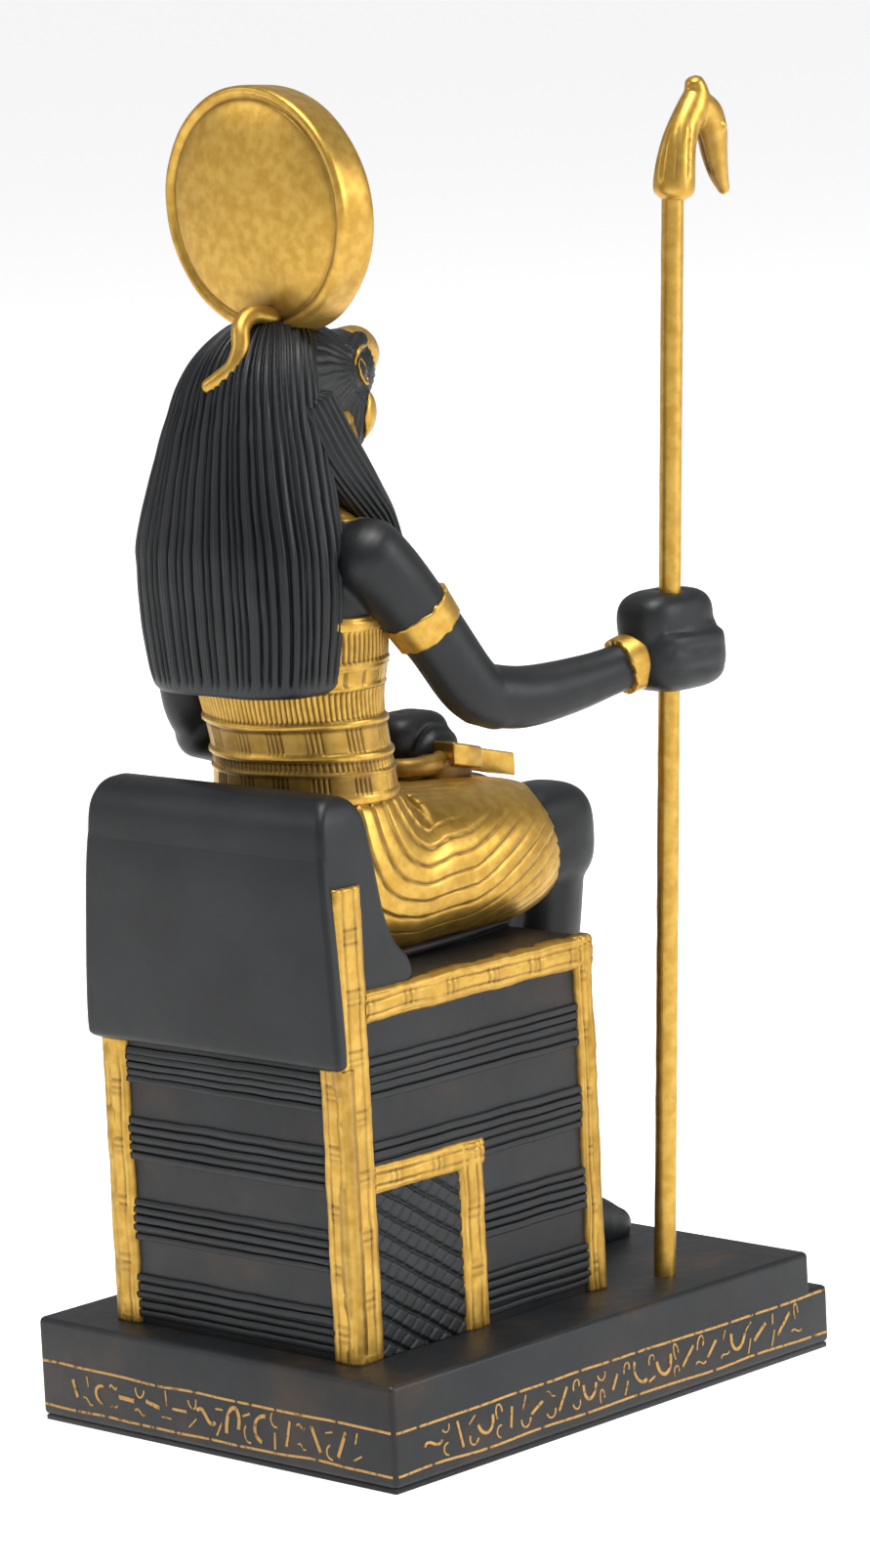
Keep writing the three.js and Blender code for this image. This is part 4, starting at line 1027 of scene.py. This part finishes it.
marks = []
for side in (-1, 1):
    spot, out, _, _ = head_surface.find_nearest(Vector((side * 9.5, 11.8, 154.3)))
    lens = knob([0, 0, 0], [0.5, 2.4, 3.8], 2, rows=28, points=40)
    lens[:, :, 1] *= (1 - 0.35 * np.abs(lens[:, :, 2] / 3.8) ** 1.5)
    turn = np.array(Vector((1, 0, 0)).rotation_difference(Vector((out.x, out.y, 0)).normalized()).to_matrix())
    for ring in lens:
        for point in ring:
            height = point[0]
            flat = turn @ (point * (0, 1, 1)) + np.array(spot)
            foot, up, _, _ = head_surface.find_nearest(Vector(flat))
            point[:] = foot + up * height
    marks.append(shell(lens))
cheek_marks = finish_piece("cheek_marks", several(marks), gold_paint)

# %% [markdown]
# ## Sun disk and serpent
# The disk is turned like a dish: a raised rim, a groove, and a low dome that fills it. At its foot, where
# the serpent's tail comes down on the wig, a brown patch of painted shade is laid on the gold.

# %% Sun disk
DISK_RADIUS = 18.7
DISK_CENTRE = np.array([0, 24.5, 186.7])
LEAN = np.radians(3)
SHEAR = 0.14
domed = 16.6
half = 3.6
profile = [[r, half - 0.9 + 2.3 * np.sqrt(max(0, 1 - (r / (domed + 0.6)) ** 2))] for r in np.linspace(0.4, domed, 36)]
profile += [[domed + 0.2, half - 0.75], [domed + 0.6, half - 0.3], [domed + 1, half - 0.02], [domed + 1.4, half + 0.02]]
profile += [[DISK_RADIUS - 0.35, half - 0.15], [DISK_RADIUS - 0.08, half - 0.5], [DISK_RADIUS, half - 1]]
profile += [[DISK_RADIUS + 0.03, y] for y in np.linspace(half - 1.6, 0, 5)]
profile = np.array(profile)
front = profile[:-1][::-1] * [1, -1]
turned = np.vstack([profile, front])[::-1]
swing = np.linspace(0, 2 * np.pi, 160, endpoint=False)
disk = np.stack([turned[:, :1] * np.cos(swing), np.repeat(turned[:, 1:], len(swing), 1), turned[:, :1] * np.sin(swing)], 2)
disk = disk[:, ::-1]
disk[:, :, 2] += SHEAR * disk[:, :, 1]
tilt = np.array([[1, 0, 0], [0, np.cos(LEAN), -np.sin(-LEAN)], [0, np.sin(-LEAN), np.cos(LEAN)]])
disk = disk @ tilt.T + DISK_CENTRE
disk = disk + normals_of(disk) * (0.04 * mottle(disk, 12, 6))[..., None]
# Painted shade: a brown patch low on the rear face, where the real disk dips and lies in shade; the groove round the
# dome gets the wash.
dent_shade_distance = np.linalg.norm((disk - np.array([-2.5, 29, 171.5])) / np.array([5.5, 6, 3.2]), axis=2)
in_groove = np.exp(-((np.linalg.norm((disk - DISK_CENTRE)[:, :, ::2], axis=2) - domed - 0.1) / 0.4) ** 2)
disk_wash_and_shade = np.clip(0.85 * np.exp(-dent_shade_distance ** 2) + 0.3 * in_groove, 0, 1)
sun_disk = finish_piece("sun_disk", shell(disk), gold_paint, attributes={"wash_and_shade": spread_ends(disk_wash_and_shade)})

# %% Serpent's tail
tail = limb([
    [-2.6, 27.5, 171, 1.5], [-1.8, 31, 171.6, 1.5], [-2.2, 33.8, 170, 1.45], [-3, 35, 167, 1.4],
    [-2.6, 36.2, 164.4, 1.35], [-1, 37.4, 162.8, 1.3], [0.8, 38.2, 161.6, 1.2],
], 70, 28, blunt=0.9)
serpent_tail = finish_piece("serpent_tail", shell(tail), gold_paint)

# %% [markdown]
# ## Armlets, bracelets and the looped cross
# The bands on the arms are brushed gold on a low raised ring, so their edges wander.


# %% Armlets and bracelets
def arm_band(first, last, points=120, rows=14, seed=1):
    """A low ring from one station to the next, with a ragged edge at both ends."""
    grid = limb([first, last], rows, points, blunt=0.05)
    run = np.asarray(last[:3], float) - np.asarray(first[:3], float)
    length = np.linalg.norm(run)
    edge = np.tile(wander(points // 2, 4, seed), 2)
    pull = np.linspace(-1, 1, len(grid))[:, None]
    return grid + (0.22 * edge[None, :] * pull)[..., None] * (run / length)


arm_bands = [
    arm_band([-19.8, 18, 126.8, 5.6, 5.9], [-20.5, 15.6, 123.2, 5.3, 5.6], seed=3),
    arm_band([-29, -17.4, 113.6, 4.4, 4.5], [-30, -21.2, 114.6, 4.6, 4.7], seed=4),
    arm_band([20.4, 26.9, 124.6, 5.6, 5.8], [20.7, 26.7, 120.8, 5.5, 5.7], seed=5),
    arm_band([12, 1.4, 102.8, 4.5, 4.5], [10.4, -1.2, 102.4, 4.5, 4.5], seed=6),
]
armlets_and_bracelets = finish_piece("armlets_and_bracelets", several([shell(g) for g in arm_bands]), gold_paint)


# %% Looped cross
def flat_form(outline, low, high, width=0.35):
    count = len(outline)
    points = [(x, y, z) for z in (low, high) for x, y in outline]
    faces = [list(range(count))[::-1], list(range(count, 2 * count))]
    faces += [[i, (i + 1) % count, count + (i + 1) % count, count + i] for i in range(count)]
    return bevelled(points, faces, width, 3)


CROSS_MIDDLE = np.array([1.5, -7.0])
CROSS_SLOPE = 0.25


def sloped(parts):
    """The cross lies tipped forward on the lap, so its height falls towards the knees."""
    points, faces = parts
    points = points.copy()
    points[:, 2] += CROSS_SLOPE * points[:, 1]
    return points, faces


cx, cy = CROSS_MIDDLE
bar_outline = [(-7.4, -3.3), (-3, -1.5), (0, -1.3), (3, -1.5), (7.4, -3.3), (7.9, 0), (7.4, 3.3), (3, 1.5), (0, 1.3), (-3, 1.5),
               (-7.4, 3.3), (-7.9, 0)]
stem_outline = [(-3, -15.4), (0, -15.9), (3, -15.4), (1.6, -8), (1.3, 0), (-1.3, 0), (-1.6, -8)]
cross_bar = sloped(flat_form([(cx + x, cy + y) for x, y in bar_outline], 99.6, 103.2))
cross_stem = sloped(flat_form([(cx + x, cy + y) for x, y in stem_outline], 99.4, 103.1))
loop_path = [[1.6 + 4.6 * np.sin(t), -1.4 + 5.4 * np.cos(t), 98.7, 1.5, 1.6] for t in np.linspace(0.4, 2 * np.pi - 0.4, 30)]
loop_grid = limb(loop_path, 70, 20)
cross_under = knob([cx, cy + 1, 97.2], [6.6, 5, 2.6], 3)
cross_parts = [cross_bar, cross_stem, shell(loop_grid), shell(cross_under)]
# Painted shade: the loop and the web that lie lower than the bar are browned where the bar shades them.
cross_painted_shade = np.concatenate([np.full(len(points), stain) for (points, _), stain in zip(cross_parts, (0, 0, 0.45, 0.75))])
looped_cross = finish_piece("looped_cross", several(cross_parts), gold_paint, attributes={"wash_and_shade": cross_painted_shade})

# %% [markdown]
# ## Sceptre
# The rod is plain stock, painted gold, and leans a little. The animal head on it is cast: a sleeve, a
# neck that bends forward, an upright ear and a long snout.

# %% Sceptre rod and head
ROD_LENGTH = 170.5
rod = limb([[*(ROD_FOOT - 3 * ROD_LEAN), 1.72], [*(ROD_FOOT + ROD_LENGTH * ROD_LEAN), 1.72]], 80, 28, blunt=0.1)
rod = rod + normals_of(rod) * (0.025 * mottle(rod, 9, 9))[..., None]
sceptre_rod = finish_piece("sceptre_rod", shell(rod), gold_paint, "sceptre_staff")

rod_top = ROD_FOOT + ROD_LENGTH * ROD_LEAN


def at(forward, up, a, b):
    return [rod_top[0] - 0.0357 * up, rod_top[1] - forward, rod_top[2] + up, a, b]


places, directions, polygons = melt([
    limb([at(0.1, -2.2, 2.3, 2.3), at(0.2, -1.2, 3.2, 3.2), at(0.6, 2.3, 3.1, 3.1), at(1.5, 5.8, 2.7, 2.8), at(3, 8.6, 2.4, 2.6),
          at(5, 11, 2.3, 2.7), at(5.8, 12.4, 2.1, 2.5)], 44, 36, blunt=0.25),
    limb([at(6, 11.6, 2.2, 2.6), at(5.7, 13.85, 1.8, 1.9), at(5.3, 15, 1.5, 1.5)], 20, 28, blunt=0.6),
    limb([at(5.6, 11.4, 2.2, 2.6), at(8, 9.8, 2.4, 2.9), at(9.3, 7, 2.2, 2.7), at(9.8, 4, 1.9, 2.3), at(10.7, 0.8, 1.5, 1.7),
          at(12, -1.9, 0.9, 1)], 44, 32, blunt=0.8),
    *[knob([rod_top[0] - 0.3 + side * 2.1, rod_top[1] - 9.6, rod_top[2] + 8], [0.6, 0.7, 0.7], 2, 10, 16) for side in (-1, 1)],
], 0.27, 8)
from_top = places - rod_top
on_neck = rise(from_top[:, 2], 0, 1.5) * rise(-from_top[:, 2], -9.5, -7)
neck_lines = groove(np.arctan2(from_top[:, 0], -from_top[:, 1] - 1 - 0.15 * from_top[:, 2]) * 1.6, 0.09) * on_neck
places = places - directions * (0.22 * neck_lines)[:, None]
# Painted shade: the gold under the snout is browned where shade falls under it; the cuts round the neck get the wash.
under_snout_shade = rise(-from_top[:, 1], 4, 6) * rise(directions[:, 1], 0.1, 0.6)
head_wash_and_shade = np.clip(0.5 * neck_lines + 0.45 * under_snout_shade, 0, 1)
sceptre_head = finish_piece("sceptre_animal_head", (places, polygons), gold_paint, "sceptre_head",
                            attributes={"wash_and_shade": head_wash_and_shade})

# %% [markdown]
# ## Band of brushed marks round the plinth
# Two thin lines run round the plinth with a row of small marks between them, in dull brown gold. On this
# copy the marks say nothing: each is picked by chance from seven plain strokes. They repeat, so a
# Geometry Nodes tree makes them, with a fixed seed: points along the band, a stroke on each, and a small
# turn and size of its own.

# %% Mark tree: marks stand in the XZ plane and face along Y
mark_tree, wanted, mark_sockets = new_tree("mark_band", [
    ("Count", "NodeSocketInt", 12), ("Start", "NodeSocketVector", (0, 0, 0)), ("Pitch", "NodeSocketFloat", 3.4),
    ("Thickness", "NodeSocketFloat", 0.45), ("Size", "NodeSocketFloat", 1.0), ("Seed", "NodeSocketInt", 1), ("Paint", "NodeSocketMaterial", None),
])
mark_step = add(mark_tree, "ShaderNodeCombineXYZ", {}, {"X": wanted.outputs["Pitch"]})
mark_row = add(mark_tree, "GeometryNodeMeshLine", {"mode": "OFFSET"}, {
    "Count": wanted.outputs["Count"], "Start Location": wanted.outputs["Start"], "Offset": mark_step.outputs[0]})
mark_section = add(mark_tree, "GeometryNodeCurvePrimitiveCircle", {"mode": "RADIUS", "Resolution": 6})
half_thick = add(mark_tree, "ShaderNodeMath", {"operation": "MULTIPLY", 1: 0.5}, {0: wanted.outputs["Thickness"]})
mark_tree.links.new(half_thick.outputs[0], mark_section.inputs["Radius"])
strokes = []
for start, end in (((0, 0, -1.5), (0.2, 0, 1.5)), ((-1.3, 0, 0), (1.3, 0, 0.1)), ((-1.0, 0, -1.2), (0.6, 0, 1.3))):
    line = add(mark_tree, "GeometryNodeCurvePrimitiveLine", {"Start": start, "End": end})
    strokes.append(add(mark_tree, "GeometryNodeResampleCurve", {"Count": 6}, {"Curve": line.outputs[0]}).outputs[0])
for start, first, second, end in (
    ((-1.4, 0, 0), (-0.5, 0, 1.6), (0.5, 0, -1.6), (1.4, 0, 0)),
    ((-0.9, 0, -1.4), (-1.2, 0, 2.4), (1.4, 0, 2.4), (0.8, 0, -0.6)),
    ((-1.2, 0, 0.8), (-1.0, 0, -1.6), (1.2, 0, -1.8), (1.3, 0, 0.9)),
    ((0.1, 0, 1.6), (-1.6, 0, 0.8), (-0.9, 0, -1.6), (0.9, 0, -1.3)),
):
    curve = add(mark_tree, "GeometryNodeCurvePrimitiveBezierSegment",
                {"Resolution": 12, "Start": start, "Start Handle": first, "End Handle": second, "End": end})
    strokes.append(curve.outputs[0])
mark_choice = add(mark_tree, "GeometryNodeJoinGeometry")
for stroke in strokes:
    bar = add(mark_tree, "GeometryNodeCurveToMesh", {"Fill Caps": True},
              {"Curve": stroke, "Profile Curve": mark_section.outputs[0]})
    single = add(mark_tree, "GeometryNodeGeometryToInstance", {}, {"Geometry": bar.outputs[0]})
    mark_tree.links.new(single.outputs[0], mark_choice.inputs[0])
mark_index = add(mark_tree, "FunctionNodeRandomValue", {"data_type": "INT"}, {"Seed": wanted.outputs["Seed"]})
mark_index.inputs["Max"].default_value = len(strokes) - 1
mark_index.inputs[4].default_value = 0
mark_index.inputs[5].default_value = len(strokes) - 1
mark_turn = add(mark_tree, "FunctionNodeRandomValue", {"data_type": "FLOAT_VECTOR", "Min": (0, -0.5, 0), "Max": (0, 0.5, 0)},
                {"Seed": wanted.outputs["Seed"]})
mark_size = add(mark_tree, "FunctionNodeRandomValue", {"data_type": "FLOAT_VECTOR", "Min": (0.7, 0.5, 0.6), "Max": (1.1, 0.5, 1.15)},
                {"Seed": wanted.outputs["Seed"]})
mark_scale = add(mark_tree, "ShaderNodeVectorMath", {"operation": "SCALE"},
                 {0: mark_size.outputs[0], "Scale": wanted.outputs["Size"]})
mark_copies = add(mark_tree, "GeometryNodeInstanceOnPoints", {"Pick Instance": True}, {
    "Points": mark_row.outputs["Mesh"], "Instance": mark_choice.outputs[0], "Instance Index": mark_index.outputs["Value"],
    "Rotation": mark_turn.outputs[0], "Scale": mark_scale.outputs[0],
})
mark_real = add(mark_tree, "GeometryNodeRealizeInstances", {}, {"Geometry": mark_copies.outputs[0]})
mark_painted = add(mark_tree, "GeometryNodeSetMaterial", {},
                   {"Geometry": mark_real.outputs[0], "Material": wanted.outputs["Paint"]})
add(mark_tree, "NodeGroupOutput", {}, {"Geometry": mark_painted.outputs[0]})


# %% Marks and lines on the four faces
def band_paint():
    """Thin bronze paint, dragged dry over black, so it is dull and breaks up."""
    material = bpy.data.materials.new("dry_brushed_bronze_paint")
    material.use_nodes = True
    tree = material.node_tree
    tree.nodes.clear()
    place = add(tree, "ShaderNodeTexCoord").outputs["Object"]
    broken = add(tree, "ShaderNodeTexNoise", {"Scale": 1100, "Detail": 3}, {"Vector": place}).outputs[0]
    colour = mixed(tree, ramped(tree, broken, 0.28, 0.5), "#5a3d1a", "#b08748")
    shader = add(tree, "ShaderNodeBsdfPrincipled", {"Metallic": 0.35, "Roughness": 0.55}, {"Base Color": colour})
    add(tree, "ShaderNodeOutputMaterial", {}, {"Surface": shader.outputs[0]})
    return material


LOWER_LINE = 2.7
UPPER_LINE = 9.5
STROKE_PROUD = 0.1
bronze_paint = band_paint()
band_parts = []
faces_round = [
    ((0, PLINTH_HALF_DEPTH), (0, 1, 0), (-1, 0, 0), 2 * PLINTH_HALF_WIDTH),
    ((-PLINTH_HALF_WIDTH, 0), (-1, 0, 0), (0, -1, 0), 2 * PLINTH_HALF_DEPTH),
    ((0, -PLINTH_HALF_DEPTH), (0, -1, 0), (1, 0, 0), 2 * PLINTH_HALF_WIDTH),
    ((PLINTH_HALF_WIDTH, 0), (1, 0, 0), (0, 1, 0), 2 * PLINTH_HALF_DEPTH),
]
for number, (middle, out, along, length) in enumerate(faces_round):
    turn = np.array([along, out, (0, 0, 1)], float)
    origin = np.array([*middle, 0.0])
    for row, (level, shift, size) in enumerate(((6.1, 0, 1.35), (7.6, 2.9, 0.75), (4.5, 2.9, 0.8))):
        count = int((length - 8) / 5.8)
        points, faces = grown(mark_tree, mark_sockets, {
            "Count": count, "Start": (shift - 1.4 - (count - 1) * 2.9, 0, level), "Pitch": 5.8, "Thickness": 0.5, "Size": size,
            "Seed": 7 * number + row + 2, "Paint": bronze_paint})
        points[:, 1] = np.clip(points[:, 1], -0.5, STROKE_PROUD)
        points[:, 2] = np.clip(points[:, 2], LOWER_LINE + 0.5, UPPER_LINE - 0.5)
        band_parts.append((points @ turn + origin, faces if np.linalg.det(turn) > 0 else [f[::-1] for f in faces]))
    for level, seed in ((LOWER_LINE, 5), (UPPER_LINE, 9)):
        reach = length / 2 - 0.7
        waver = 0.12 * wander(60, 6, seed + number)
        line = [[x, STROKE_PROUD - 0.16, level + w, 0.16, 0.24] for x, w in zip(np.linspace(-reach, reach, 60), waver)]
        grid = limb([[p[0], p[1], p[2], 0.24, 0.16] for p in line], 100, 8, blunt=0.5)
        grid[:, :, 1] = np.clip(grid[:, :, 1], -0.5, STROKE_PROUD)
        band_parts.append(shell((grid @ turn + origin)[:, ::-1]))
brushed_band = finish_piece("brushed_band", several(band_parts), bronze_paint)

# %% [markdown]
# ## Felt pad
# A thin sheet of black felt is glued under the plinth. It shows as a dark line at the floor.


# %% Felt
def felt_material():
    """Pressed wool felt: short fibres in all directions, so it is matte with a faint pale fuzz."""
    material = bpy.data.materials.new("pressed_black_felt")
    material.use_nodes = True
    tree = material.node_tree
    tree.nodes.clear()
    place = add(tree, "ShaderNodeTexCoord").outputs["Object"]
    fibre = add(tree, "ShaderNodeTexNoise", {"Scale": 5000, "Detail": 4}, {"Vector": place}).outputs[0]
    colour = mixed(tree, fibre, "#08080a", "#1a1a1d")
    bump = add(tree, "ShaderNodeBump", {"Strength": 0.6, "Distance": 0.0001}, {"Height": fibre}).outputs[0]
    shader = add(tree, "ShaderNodeBsdfPrincipled", {"Roughness": 0.95, "Sheen Weight": 0.3},
                 {"Base Color": colour, "Normal": bump})
    add(tree, "ShaderNodeOutputMaterial", {}, {"Surface": shader.outputs[0]})
    return material


felt_outline = [(49.9, 0.0), (49.9, FELT_TOP), (-49.9, FELT_TOP), (-49.9, 0.0)]
felt_pad = finish_piece("felt_pad", bevelled(*pushed(felt_outline, -37.7, 37.7), 0.12, 2), felt_material(), "base_felt")

# %% [markdown]
# ## Floor and light
# The statuette stands on a plain pale floor that runs out of view, under a large soft light overhead
# and two more at the sides, as on a product table.


# %% Floor and lights
def floor_material():
    """White acrylic on a light table: it glows a little, so it stays white all round the object."""
    material = bpy.data.materials.new("white_acrylic_light_table")
    material.use_nodes = True
    shader = material.node_tree.nodes["Principled BSDF"]
    shader.inputs["Base Color"].default_value = linear("#f0f0f0")
    shader.inputs["Roughness"].default_value = 0.8
    shader.inputs["Emission Color"].default_value = linear("#ffffff")
    shader.inputs["Emission Strength"].default_value = 0.56
    return material


floor_mesh = bpy.data.meshes.new("studio_floor")
floor_mesh.from_pydata([(-20, -20, 0), (20, -20, 0), (20, 20, 0), (-20, 20, 0)], [], [(0, 1, 2, 3)])
floor_mesh.materials.append(floor_material())
studio_floor = bpy.data.objects.new("studio_floor", floor_mesh)
bpy.context.scene.collection.objects.link(studio_floor)


def soft_light(name, place, size, power):
    light = bpy.data.lights.new(name, "AREA")
    light.shape = "DISK"
    light.size = size
    light.energy = power
    lamp = bpy.data.objects.new(name, light)
    lamp.location = place
    lamp.rotation_mode = "QUATERNION"
    lamp.rotation_quaternion = (Vector((0, 0, 0.1)) - Vector(place)).to_track_quat("-Z", "Y")
    bpy.context.scene.collection.objects.link(lamp)


soft_light("overhead_softbox", (-0.2, 0.2, 1.3), 0.8, 20)
soft_light("right_softbox", (-1.3, -0.7, 0.6), 0.8, 12)
soft_light("rear_left_softbox", (0.9, 1.0, 0.7), 0.6, 3)
world = bpy.data.worlds.new("studio_surround")
world.use_nodes = True
world.node_tree.nodes["Background"].inputs["Color"].default_value = linear("#ffffff")
world.node_tree.nodes["Background"].inputs["Strength"].default_value = 0.4
bpy.context.scene.world = world
bpy.context.scene.view_settings.view_transform = "Standard"
